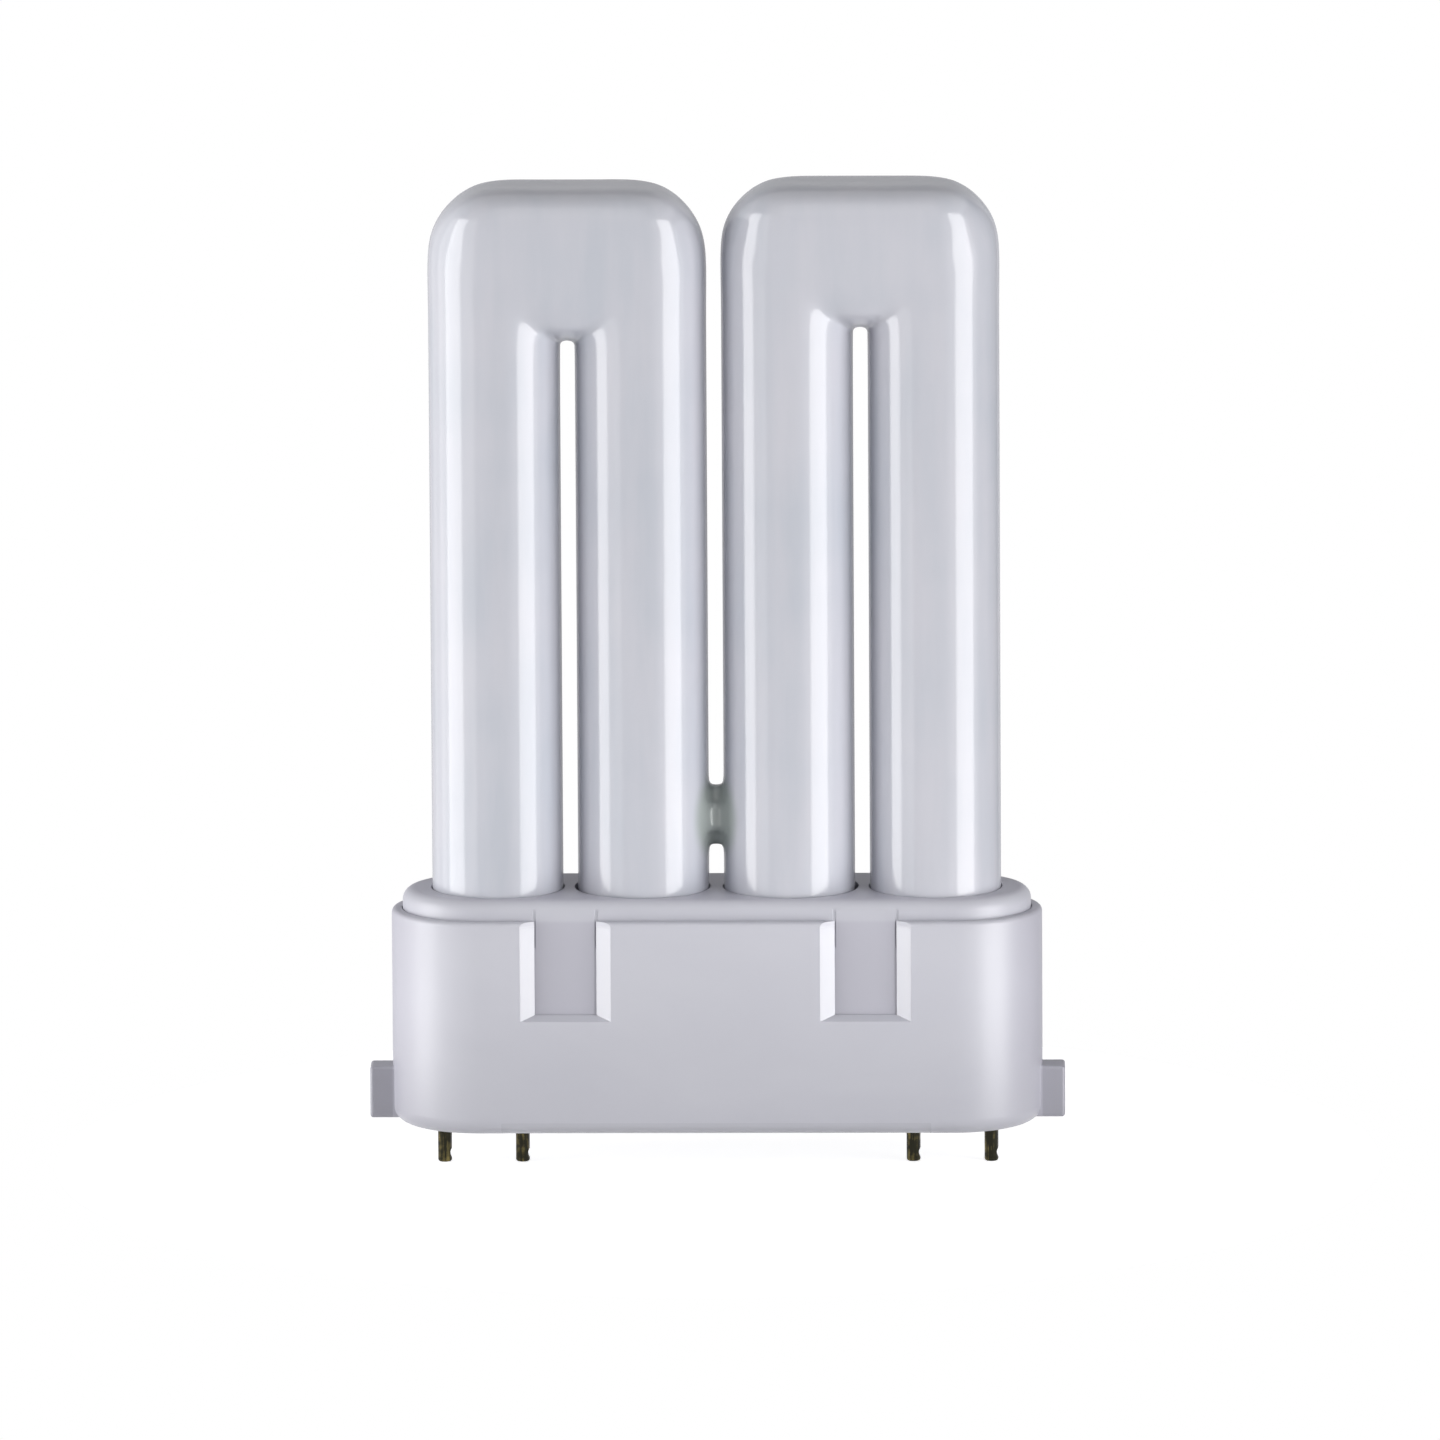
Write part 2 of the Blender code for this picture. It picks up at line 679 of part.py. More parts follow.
def make_cement():
    """Five dabs: one past each outer leg and one in each gap between legs."""
    finish = cement_material()
    steps = 10
    radius = TUBE_RADIUS + SEAT_GAP
    end_radius = HOLDER_HALF_DEPTH - SKIRT_THICKNESS - SEAT_GAP
    half = min(CEMENT_HALF_DEPTH, TUBE_RADIUS)
    leg_places = (-OUTER_LEG_X, -INNER_LEG_X, INNER_LEG_X, OUTER_LEG_X)
    left_sides = [arc(-END_CENTRE_X, end_radius, half, steps, -1)]
    left_sides += [arc(x, radius, half, steps, 1) for x in leg_places]
    right_sides = [arc(x, radius, half, steps, -1) for x in leg_places]
    right_sides.append(arc(END_CENTRE_X, end_radius, half, steps, 1))
    for number, (left, right) in enumerate(zip(left_sides, right_sides), 1):
        make_cement_dab(number, left, right, finish)


def make_pins_and_wires():
    """Four pins in line, each with its wire."""
    pin_finish = pin_material()
    wire_finish = wire_material()
    for number, (seal_x, pin_x) in enumerate(wire_places(), 1):
        make_contact_pin(number, pin_x, pin_finish)
        make_lead_wire(number, seal_x, pin_x, wire_finish)


def main():
    remove_everything()
    make_discharge_tube()
    make_base_housing()
    make_tube_holder()
    make_pins_and_wires()
    make_cement()


main()
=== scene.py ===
"""Pin-base compact fluorescent lamp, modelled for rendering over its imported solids.

Four glass legs stand in one row in a moulded cap with four contact pins in line.
All sizes are in metres. X runs along the row, the front faces -Y and +Z is up.
"""

import math
from itertools import product
import bmesh
import bpy
import numpy as np
from bpy.props import FloatProperty, FloatVectorProperty, PointerProperty
from mathutils import Euler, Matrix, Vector


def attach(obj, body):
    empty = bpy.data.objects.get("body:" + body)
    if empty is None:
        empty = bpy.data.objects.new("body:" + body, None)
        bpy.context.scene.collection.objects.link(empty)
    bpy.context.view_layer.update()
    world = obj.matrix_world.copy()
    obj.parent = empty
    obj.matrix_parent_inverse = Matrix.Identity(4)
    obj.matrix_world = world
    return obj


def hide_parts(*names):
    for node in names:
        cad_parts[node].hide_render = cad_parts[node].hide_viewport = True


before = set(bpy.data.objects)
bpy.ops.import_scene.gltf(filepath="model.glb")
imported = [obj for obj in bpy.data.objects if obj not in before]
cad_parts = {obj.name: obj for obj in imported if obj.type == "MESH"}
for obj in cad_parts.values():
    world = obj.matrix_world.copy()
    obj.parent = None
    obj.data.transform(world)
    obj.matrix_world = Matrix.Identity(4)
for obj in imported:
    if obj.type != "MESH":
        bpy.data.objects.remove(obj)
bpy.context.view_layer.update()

bl_info = {
    "name": "Pin-base compact fluorescent lamp",
    "version": (1, 0, 0),
    "blender": (4, 5, 0),
    "location": "3D View > Sidebar > Lamp",
    "description": "Models a flat four-leg compact fluorescent lamp and its studio",
    "category": "Add Mesh",
}

SIDES = (-1, 1)
NEAR = 0.0001  # points closer than this to a face count as on it
SHARP = 24  # degrees: edges that turn more than this are shaded, and rounded, as edges
RING = 8  # points in one ring of the glass's cage

# The camera is matched to the photograph: its side in pixels, the pixel at which the point that the camera
# looks at is seen, and the scale there.
PICTURE_SIDE = 1440
TARGET_PIXEL = (715.7, 697.3)
PIXELS_PER_METRE = 7812.0


def length(description, default):
    """A size in metres that can be changed in the sidebar."""
    return FloatProperty(description=description, default=default, min=0.0, precision=5, unit="LENGTH")


def angle(description, degrees):
    """An angle that can be changed in the sidebar, written here in degrees."""
    return FloatProperty(description=description, default=math.radians(degrees), subtype="ANGLE")


def linear(code):
    """An sRGB colour written as six hex digits, turned to linear light, with its alpha of 1."""
    channels = [int(code[i : i + 2], 16) / 255 for i in (0, 2, 4)]
    return [c / 12.92 if c <= 0.04045 else ((c + 0.055) / 1.055) ** 2.4 for c in channels] + [1.0]


def darker(tone, share):
    """A colour with a share of its light."""
    return [share * c for c in tone[:3]] + [1.0]


def colour(description, code):
    """A colour that can be changed in the sidebar, written here as sRGB hex."""
    return FloatVectorProperty(
        description=description, default=linear(code), subtype="COLOR", size=4, min=0.0, max=1.0
    )


class GlassSizes(bpy.types.PropertyGroup):
    tube_diameter: length("Outer diameter of a glass leg", 0.0168)
    leg_gap: length("Free space between two legs", 0.0019)
    crown_left: length("Height of the left bend above the seat", 0.12142)
    crown_right: length("Height of the right bend above the seat", 0.12182)
    bend_left: length("Height of the left bend over its slot", 0.0199)
    bend_right: length("Height of the right bend over its slot", 0.0186)
    corner_left: length("Outer corner radius of the left bend", 0.0089)
    corner_right: length("Outer corner radius of the right bend", 0.0082)
    leg_end: length("Height at which the round legs end inside the cap", 0.02095)
    seal_taper: length("Height over which an outer leg flattens into its seal", 0.0045)
    seal_length: length("Height of the pinched seal", 0.0030)
    seal_width: length("Width of the pinched seal", 0.0124)
    seal_thickness: length("Thickness of the pinched seal", 0.0034)
    tip_diameter: length("Diameter of the exhaust tip of an inner leg", 0.0034)
    tip_length: length("Length of the exhaust tip", 0.0040)
    bridge_height: length("Height of the fused bridge above the seat", 0.0398)
    bridge_size: length("Height of the bridge where it leaves a leg", 0.0080)


class CapSizes(bpy.types.PropertyGroup):
    housing_length: length("Length of the housing without its lugs", 0.0834)
    housing_depth: length("Depth of the housing from front to back", 0.0230)
    housing_height: length("Height of the housing's rim above its seat", 0.0278)
    wall: length("Wall thickness of the housing", 0.0013)
    floor: length("Floor thickness of the housing", 0.0020)
    seat_edge: length("Rounding of the edge round the seat", 0.0022)
    rim_edge: length("Rounding of the housing's rim", 0.0006)
    fit: length("Gap all round between housing and lid", 0.00012)
    lid_rise: length("How far the lid stands above the rim", 0.00265)
    lid_edge: length("Rounding of the lid's top edge", 0.0016)
    plate: length("Thickness of the lid's plate", 0.0020)
    skirt: length("Thickness of the lid's skirt", 0.0010)
    skirt_depth: length("How far the skirt reaches below the rim", 0.0035)
    recess_spacing: length("Distance between the two recesses of a side", 0.0384)
    recess_width: length("Width of a recess at its bottom", 0.0079)
    recess_flare: length("How much a recess widens on each side", 0.0019)
    recess_sill: length("Height of the recess's lower edge", 0.0156)
    sill_drop: length("How far the sill slopes down to the front", 0.0007)
    recess_land: length("Depth of the square part of a recess", 0.0001)
    leg_clearance: length("Gap all round between a leg and its hole", 0.00016)
    seat_gap: length("Gap where pieces rest on each other and round a pin", 0.0003)
    tongue_overlap: length("How far a tongue runs on behind the recess on each side", 0.00045)
    tongue_tuck: length("How far a tongue runs on below the sill", 0.0008)
    rib_width: length("Width of a stop rib", 0.0014)
    rib_depth: length("How far a stop rib stands out from the wall", 0.0013)
    lug_length: length("How far an end lug stands out", 0.00289)
    lug_height: length("Height of an end lug", 0.0067)
    lug_depth: length("Depth of an end lug from front to back", 0.0046)
    lug_rise: length("Height of a lug's underside above the seat", 0.0006)
    lug_root: length("How deep a lug is let into the end wall", 0.0011)
    lug_edge: length("Rounding of a lug's edges", 0.0004)
    boss_diameter: length("Diameter of the boss round a pin", 0.0052)
    boss_height: length("Height of a boss above the floor", 0.0030)
    hole_ease: length("How much wider and further out the middle holes are", 0.00015)
    groove_width: length("Width of the groove beside a tongue", 0.0004)
    groove_depth: length("Depth of the groove beside a tongue", 0.0001)
    housing_break: length("Rounding of the housing's other edges", 0.0001)
    lid_break: length("Rounding of the lid's other edges", 0.00006)


class PinSizes(bpy.types.PropertyGroup):
    pitch: length("Distance between the two pins of a pair", 0.0100)
    pair_spacing: length("Distance between the centres of the two pairs", 0.0602)
    diameter: length("Diameter of a pin", 0.0018)
    bore: length("Diameter of a pin's bore", 0.0010)
    reach: length("How far a pin stands out below the seat", 0.0055)
    tip_edge: length("Rounding of a pin's tip", 0.0003)
    collar_diameter: length("Diameter of the collar that seats a pin on its boss", 0.0036)
    collar_height: length("Thickness of the collar", 0.0008)
    head: length("How far a pin reaches above its boss", 0.0016)
    crimp_rise: length("Height of the crimp above the tip", 0.0011)
    crimp_radius: length("Radius of the crimping tool", 0.0010)
    crimp_depth: length("Depth of the crimp", 0.00022)


class LampColours(bpy.types.PropertyGroup):
    coating: colour("Phosphor powder behind the glass", "C9C9D1")
    coating_thin: colour("Coating where it lies thinner", "BFC2CB")
    # Bare glass where the coating burnt off, darkened further as painted shade between the middle legs.
    coating_burnt_and_shaded: colour("Coating burnt away at the bridge", "AEB5B3")
    housing: colour("Moulded housing", "C9C9D1")
    housing_shade: colour("Flow marks in the housing", "C3C3CC")
    lid: colour("Moulded lid", "C6C6CE")
    lid_shade: colour("Flow marks in the lid", "BDBDC6")
    # The next two colours are painted shade: darker tones for the lugs, which sit in shade behind the round
    # ends, and for the housing's ends, the lid's top face and the tongues in the recesses.
    painted_shade: colour("Grey film on the lugs", "AAA9B3")
    faint_painted_shade: colour("Grey film on the lid where nothing wipes it off", "BBBAC4")
    brass: colour("Bright brass of the pins", "6E6440")
    # Painted reflection: a dark tone that stands for the dark surroundings mirrored in the bright pins.
    tarnish: colour("Tarnish on the pins", "2B2A22")
    nickel: colour("Lead wires", "B4B0A8")
    cement: colour("Basing cement", "BDB6A4")


class StudioSizes(bpy.types.PropertyGroup):
    turn: angle("How far the camera stands round to the right", 1.2)
    lift: angle("How far the camera looks down", 10.4)
    roll: angle("Tilt of the camera about its line of sight", -0.32)
    distance: length("From the camera to the middle of the lamp", 3.0)
    middle: length("Height of the point that the camera looks at", 0.0550)
    table_radius: length("Radius of the pale round table top", 0.085)
    softbox_distance: length("From a softbox to the middle of the lamp", 0.9)
    board_distance: length("From the flag and the card to the middle of the lamp", 0.8)
    card_rise: length("How far the grey card stands above the middle", 0.1)
    flag_turn: angle("How far the black flag stands round to the right", 116)


# Modelling steps


def deselect():
    """Leave edit mode and let go of everything that is selected."""
    if bpy.context.object and bpy.context.object.mode != "OBJECT":
        bpy.ops.object.mode_set(mode="OBJECT")
    bpy.ops.object.select_all(action="DESELECT")


def take(piece):
    """Select one piece, and nothing else, and make it the active one."""
    deselect()
    bpy.context.view_layer.objects.active = piece
    piece.select_set(True)


def named(name):
    """Name the object that was just added."""
    made = bpy.context.active_object
    made.name = name
    made.data.name = name
    return made


def add(operator, name, **settings):
    """Add an object with one of Blender's operators and name it."""
    deselect()
    operator(**settings)
    return named(name)


def edit(piece):
    """Open one piece in edit mode with nothing selected."""
    take(piece)
    bpy.ops.object.mode_set(mode="EDIT")
    bpy.ops.mesh.select_all(action="DESELECT")


def pick(piece, kind, rule):
    """Select the vertices, edges or faces of the open piece that a rule accepts, and nothing else."""
    bpy.ops.mesh.select_mode(type={"verts": "VERT", "edges": "EDGE", "faces": "FACE"}[kind])
    bpy.ops.mesh.select_all(action="DESELECT")
    bm = bmesh.from_edit_mesh(piece.data)
    chosen = [element for element in getattr(bm, kind) if rule(element)]
    if not chosen:
        raise RuntimeError(f"{piece.name}: no {kind} found")
    for element in chosen:
        element.select_set(True)
    bm.select_flush_mode()
    bmesh.update_edit_mesh(piece.data)


def round_edges(piece, offset, segments, rule):
    """Round the edges of the open piece whose points all follow a rule."""
    pick(piece, "edges", lambda edge: all(rule(vert.co) for vert in edge.verts))
    bpy.ops.mesh.bevel(offset=offset, segments=segments)


def draw_out(x, y, z):
    """Extrude what is selected in the open piece."""
    bpy.ops.mesh.extrude_region_move(TRANSFORM_OT_translate={"value": (x, y, z)})


def close_up():
    """Merge doubles, turn all faces outwards and go back to object mode."""
    bpy.ops.mesh.select_all(action="SELECT")
    bpy.ops.mesh.remove_doubles(threshold=0.000002)
    bpy.ops.mesh.normals_make_consistent()
    bpy.ops.object.mode_set(mode="OBJECT")


def apply_modifier(piece, kind, **settings):
    """Add a modifier, set it and apply it."""
    take(piece)
    step = piece.modifiers.new(kind.title(), kind)
    for name, value in settings.items():
        setattr(step, name, value)
    bpy.ops.object.modifier_apply(modifier=step.name)


def combine(piece, tool, operation):
    """Cut a tool from a piece, or join it on, and take the tool away."""
    apply_modifier(piece, "BOOLEAN", object=tool, operation=operation, solver="EXACT")
    bpy.data.objects.remove(tool)


def finish_piece(piece, material, node, smooth=SHARP):
    """Shade a piece, give it its material and let it stand for its solid."""
    take(piece)
    bpy.ops.object.transform_apply()
    bpy.ops.object.shade_smooth_by_angle(angle=math.radians(smooth))
    piece.data.materials.clear()
    piece.data.materials.append(material)
    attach(piece, "root")
    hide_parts(node)


def finish_moulding(piece, edge, material, node):
    """Round every sharp edge a little, because a mould leaves no knife edge, and finish the piece."""
    sharp = math.radians(SHARP)
    apply_modifier(piece, "BEVEL", width=edge, segments=2, limit_method="ANGLE", angle_limit=sharp)
    finish_piece(piece, material, node)
    apply_modifier(piece, "WEIGHTED_NORMAL", keep_sharp=True, weight=90)


# Materials


def feed(node, inputs):
    """Give each input of a shader node its value or its link."""
    for name, value in inputs.items():
        if isinstance(value, bpy.types.NodeSocket):
            node.id_data.links.new(value, node.inputs[name])
        else:
            node.inputs[name].default_value = value


def add_node(tree, kind, inputs, out=0, **settings):
    """Add a shader node with its settings, values and links, and give one of its outputs."""
    node = tree.nodes.new("ShaderNode" + kind)
    for name, value in settings.items():
        setattr(node, name, value)
    feed(node, inputs)
    return node.outputs[out]


# A Mix node that mixes colours takes them at inputs 6 and 7 and gives the mixture at output 2.
FIRST, SECOND = 6, 7
COLOURS = {"out": 2, "data_type": "RGBA"}


def start_material(name):
    """A new material with its node tree, its shader and the piece's own coordinates."""
    material = bpy.data.materials.new(name)
    material.use_nodes = True
    tree = material.node_tree
    return material, tree, tree.nodes["Principled BSDF"], add_node(tree, "TexCoord", {}, out="Object")


def per_metre(millimetres):
    """Noise scale whose features are about this many millimetres across."""
    return 1000.0 / millimetres


def share_along(tree, place, axis, start, end):
    """A factor that goes smoothly from 0 to 1 from a start to an end, alike on both sides of the middle."""
    size = add_node(tree, "VectorMath", {0: place}, operation="ABSOLUTE")
    along = add_node(tree, "SeparateXYZ", {0: size}, out=axis)
    reach = {"Value": along, "From Min": start, "From Max": end}
    return add_node(tree, "MapRange", reach, interpolation_type="SMOOTHSTEP")


def coated_glass(colours, glass):
    """Drawn soda-lime tube, dusted inside with phosphor: a matt pale powder under a hard clear gloss."""
    material, tree, shader, place = start_material("drawn_glass_with_phosphor_coating")
    # The suspension runs down the tube as it dries, so the coating has streaks 3 mm wide along the legs.
    along = add_node(tree, "Mapping", {"Vector": place, "Scale": (1.0, 1.0, 0.12)})
    runs = add_node(tree, "TexNoise", {"Vector": along, "Scale": per_metre(3.0), "Detail": 3.0})
    # Slow clouds 14 mm across, where the powder lies thicker or thinner.
    clouds = add_node(tree, "TexNoise", {"Vector": place, "Scale": per_metre(14.0), "Detail": 2.0})
    both = add_node(tree, "Math", {0: runs, 1: clouds}, operation="MULTIPLY")
    thin = add_node(tree, "MapRange", {"Value": both, "From Min": 0.12, "From Max": 0.42})
    powder = {"Factor": thin, FIRST: colours.coating, SECOND: colours.coating_thin}
    tint = add_node(tree, "Mix", powder, **COLOURS)
    # The flame that fused the bridge burnt the powder away there, so the bare glass is grey-green. The tone
    # is also painted shade, darker between the middle legs and on their facing flanks.
    bridge_mark_reach = (0.0034, 0.03, 0.0070)  # from the bridge's middle along X, Y and Z
    weld = {"Vector": place, "Location": (0.0, 0.0, glass.bridge_height), "Scale": bridge_mark_reach}
    bridge_mark_place = add_node(tree, "Mapping", weld, vector_type="TEXTURE")
    bridge_mark = add_node(tree, "TexGradient", {"Vector": bridge_mark_place}, out="Fac", gradient_type="SPHERICAL")
    fade = {"Value": bridge_mark, "From Min": 0.05, "From Max": 0.45}
    burnt_and_shaded = add_node(tree, "MapRange", fade, interpolation_type="SMOOTHSTEP")
    tint = add_node(tree, "Mix", {"Factor": burnt_and_shaded, FIRST: tint, SECOND: colours.coating_burnt_and_shaded}, **COLOURS)
    # Blown glass waves slightly, 9 mm across. The waves are drawn 0.04 mm high here so that they show.
    waves = add_node(tree, "TexNoise", {"Vector": along, "Scale": per_metre(9.0), "Detail": 1.0})
    surface = add_node(tree, "Bump", {"Height": waves, "Strength": 0.35, "Distance": 0.00012})
    feed(shader, {"Base Color": tint, "Roughness": 0.60, "Specular IOR Level": 0.15})
    feed(shader, {"Coat Weight": 1.0, "Coat Roughness": 0.13, "Coat IOR": 1.52, "Coat Normal": surface})
    return material


def moulded_plastic(name, plain, flow, roughness, painted_shade_places, polish_places=()):
    """Injection moulded polyester with a fine spark-eroded grain: satin, with a soft sheen and flow marks.

    Painted shade darkens it at some places, each given by an axis, a start and an end along it and a
    colour.
    It is polished where all the polish places meet.
    """
    material, tree, shader, place = start_material(name)
    # Flow marks, 18 mm across, drawn out along the piece as the melt filled the mould.
    stream = add_node(tree, "Mapping", {"Vector": place, "Scale": (0.4, 1.0, 1.0)})
    swirl = {"Vector": stream, "Scale": per_metre(18.0), "Detail": 3.0, "Distortion": 0.6}
    marks = add_node(tree, "TexNoise", swirl)
    spread = add_node(tree, "MapRange", {"Value": marks, "From Min": 0.35, "From Max": 0.7})
    tint = add_node(tree, "Mix", {"Factor": spread, FIRST: plain, SECOND: flow}, **COLOURS)
    # Painted shade: each place mixes in its darker tone.
    for axis, start, end, painted_shade in painted_shade_places:
        share = share_along(tree, place, axis, start, end)
        tint = add_node(tree, "Mix", {"Factor": share, FIRST: tint, SECOND: painted_shade}, **COLOURS)
    # The mould's spark-eroded grain is 0.05 mm. It is drawn 0.35 mm wide here so that it shows.
    grain = add_node(tree, "TexNoise", {"Vector": place, "Scale": per_metre(0.35), "Detail": 2.0})
    satin = {"Value": grain, "From Min": 0.3, "From Max": 0.7}
    satin.update({"To Min": roughness - 0.03, "To Max": roughness + 0.03})
    finish = add_node(tree, "MapRange", satin)
    if polish_places:
        polish = 1.0
        for axis, start, end in polish_places:
            share = share_along(tree, place, axis, start, end)
            polish = add_node(tree, "Math", {0: polish, 1: share}, operation="MULTIPLY")
        finish = add_node(tree, "MapRange", {"Value": polish, "To Min": finish, "To Max": 0.07})
    relief = add_node(tree, "Bump", {"Height": grain, "Strength": 0.15, "Distance": 0.00002})
    feed(shader, {"Base Color": tint, "Roughness": finish, "Normal": relief, "IOR": 1.55})
    return material


def darkened_brass(colours):
    """Drawn brass coloured brown-black as a painted dark reflection, with lighter brass along the ridges of
    the draw lines.
    """
    material, tree, shader, place = start_material("drawn_brass_tarnished")
    # Draw lines 0.3 mm apart run along the pin.
    lengthwise = add_node(tree, "Mapping", {"Vector": place, "Scale": (1.0, 1.0, 0.06)})
    lines = add_node(tree, "TexNoise", {"Vector": lengthwise, "Scale": per_metre(0.3), "Detail": 3.0})
    # The painted dark reflection lies in blotches about 1 mm across.
    blotches = add_node(tree, "TexNoise", {"Vector": place, "Scale": per_metre(1.1), "Detail": 4.0})
    blotched_lines = add_node(tree, "Math", {0: lines, 1: blotches}, operation="MULTIPLY")
    brass_share = add_node(tree, "MapRange", {"Value": blotched_lines, "From Min": 0.24, "From Max": 0.42})
    tint = add_node(tree, "Mix", {"Factor": brass_share, FIRST: colours.tarnish, SECOND: colours.brass}, **COLOURS)
    rough = add_node(tree, "MapRange", {"Value": brass_share, "To Min": 0.42, "To Max": 0.24})
    scratches = add_node(tree, "Bump", {"Height": lines, "Strength": 0.4, "Distance": 0.00003})
    feed(shader, {"Base Color": tint, "Metallic": 1.0, "Roughness": rough, "Normal": scratches})
    return material


def drawn_nickel(colours):
    """Drawn nickel wire: a dull grey metal with lines along it."""
    material, tree, shader, place = start_material("drawn_nickel_wire")
    # Die lines, 0.2 mm apart, run along the wire.
    lengthwise = add_node(tree, "Mapping", {"Vector": place, "Scale": (1.0, 1.0, 0.1)})
    lines = add_node(tree, "TexNoise", {"Vector": lengthwise, "Scale": per_metre(0.2), "Detail": 2.0})
    wire = {"Factor": lines, FIRST: colours.nickel, SECOND: darker(colours.nickel, 0.8)}
    tint = add_node(tree, "Mix", wire, **COLOURS)
    rough = add_node(tree, "MapRange", {"Value": lines, "To Min": 0.28, "To Max": 0.45})
    feed(shader, {"Base Color": tint, "Metallic": 1.0, "Roughness": rough})
    return material


def baked_cement(colours):
    """Baked phenolic basing cement: a dry porous buff mass with grit and small pores."""
    material, tree, shader, place = start_material("baked_basing_cement")
    # Grit about 0.4 mm across stands out of a paste with clouds 1.5 mm across.
    grit = add_node(tree, "TexVoronoi", {"Vector": place, "Scale": per_metre(0.4)})
    clouds = add_node(tree, "TexNoise", {"Vector": place, "Scale": per_metre(1.5), "Detail": 5.0})
    paste = {"Factor": clouds, FIRST: colours.cement, SECOND: darker(colours.cement, 0.7)}
    tint = add_node(tree, "Mix", paste, **COLOURS)
    relief = add_node(tree, "Bump", {"Height": grit, "Strength": 0.7, "Distance": 0.0001})
    feed(shader, {"Base Color": tint, "Roughness": 0.90, "Normal": relief})
    return material


# Glass


def section_controls(outer_squareness, inner_squareness):
    """How far the eight corners of a cage ring stand out, so that the smoothed ring has the wanted section.

    A squareness of 2 is an ellipse. The five values are for the outer point, the outer corners, the two
    sides, the inner corners and the inner point.
    """
    lean = math.cos(math.pi / 4)
    outer_reach = 2 ** (0.5 - 1 / outer_squareness)
    inner_reach = 2 ** (0.5 - 1 / inner_squareness)
    # Smoothing leaves each corner 4/6 of its own reach and 1/6 of each neighbour's.
    weights = [
        [4, 2 * lean, 0, 0, 0],
        [lean, 4, lean, 0, 0],
        [0, lean, 4, lean, 0],
        [0, 0, lean, 4, lean],
        [0, 0, 0, 2 * lean, 4],
    ]
    wanted_reach = [6, 6 * outer_reach, 6, 6 * inner_reach, 6]
    return np.linalg.solve(np.array(weights, float), np.array(wanted_reach, float))


def add_ring(piece, side, centre, across, deep, turn=0.0, squareness=(2.0, 2.0)):
    """Add one cage ring, size it, square it off and turn it into the bend."""
    bpy.ops.mesh.select_all(action="DESELECT")
    bpy.ops.mesh.primitive_circle_add(vertices=RING, location=centre)
    bpy.ops.transform.resize(value=(across, deep, 1.0), center_override=centre)
    outer, inner = ((6, (5, 7)), (2, (1, 3))) if side > 0 else ((2, (1, 3)), (6, (5, 7)))
    groups = ((outer[0],), outer[1], (0, 4), inner[1], (inner[0],))
    first = len(bmesh.from_edit_mesh(piece.data).verts) - RING
    for group, reach in zip(groups, section_controls(*squareness)):
        pick(piece, "verts", lambda vert: vert.index - first in group)
        bpy.ops.transform.resize(value=(reach, reach, reach), center_override=centre)
    pick(piece, "verts", lambda vert: vert.index >= first)
    if turn:
        bpy.ops.transform.rotate(value=turn, orient_axis="Y", center_override=centre)


def join_rings(piece):
    """Bridge each ring to the next and close both ends."""
    count = len(bmesh.from_edit_mesh(piece.data).verts) // RING
    for i in range(count - 1):
        pick(piece, "verts", lambda vert: i <= vert.index // RING <= i + 1)
        bpy.ops.mesh.bridge_edge_loops()
    for end in (0, count - 1):
        pick(piece, "verts", lambda vert: vert.index // RING == end)
        bpy.ops.mesh.edge_face_add()


def bend_stations(slot_radius, tube_diameter, bend_height, corner):
    """Points of a bend's outer outline, about the centre of its slot, from leg to leg.

    The corner's points stand a little outside it, so that the smoothed cage follows the corner itself.
    """
    half_width = slot_radius + tube_diameter
    height = slot_radius + bend_height
    steps = 4
    step = math.pi / 2 / steps
    reach = corner * 3 / (2 + math.cos(step))
    end_reach = corner + (corner - reach * math.cos(step)) / 4
    points = [(half_width, 0.0), (half_width, (height - corner) / 2)]
    for i in range(steps + 1):
        out = end_reach if i in (0, steps) else reach
        across = half_width - corner + out * math.cos(i * step)
        up = height - corner + out * math.sin(i * step)
        points.append((across, up))
    points.append(((half_width - corner) / 2, height))
    return points + [(0.0, height)] + [(-across, up) for across, up in reversed(points)]


def rise_between(start, end, value):
    """A smooth step from 0 to 1."""
    t = min(max((value - start) / (end - start), 0.0), 1.0)
    return t * t * (3 - 2 * t)


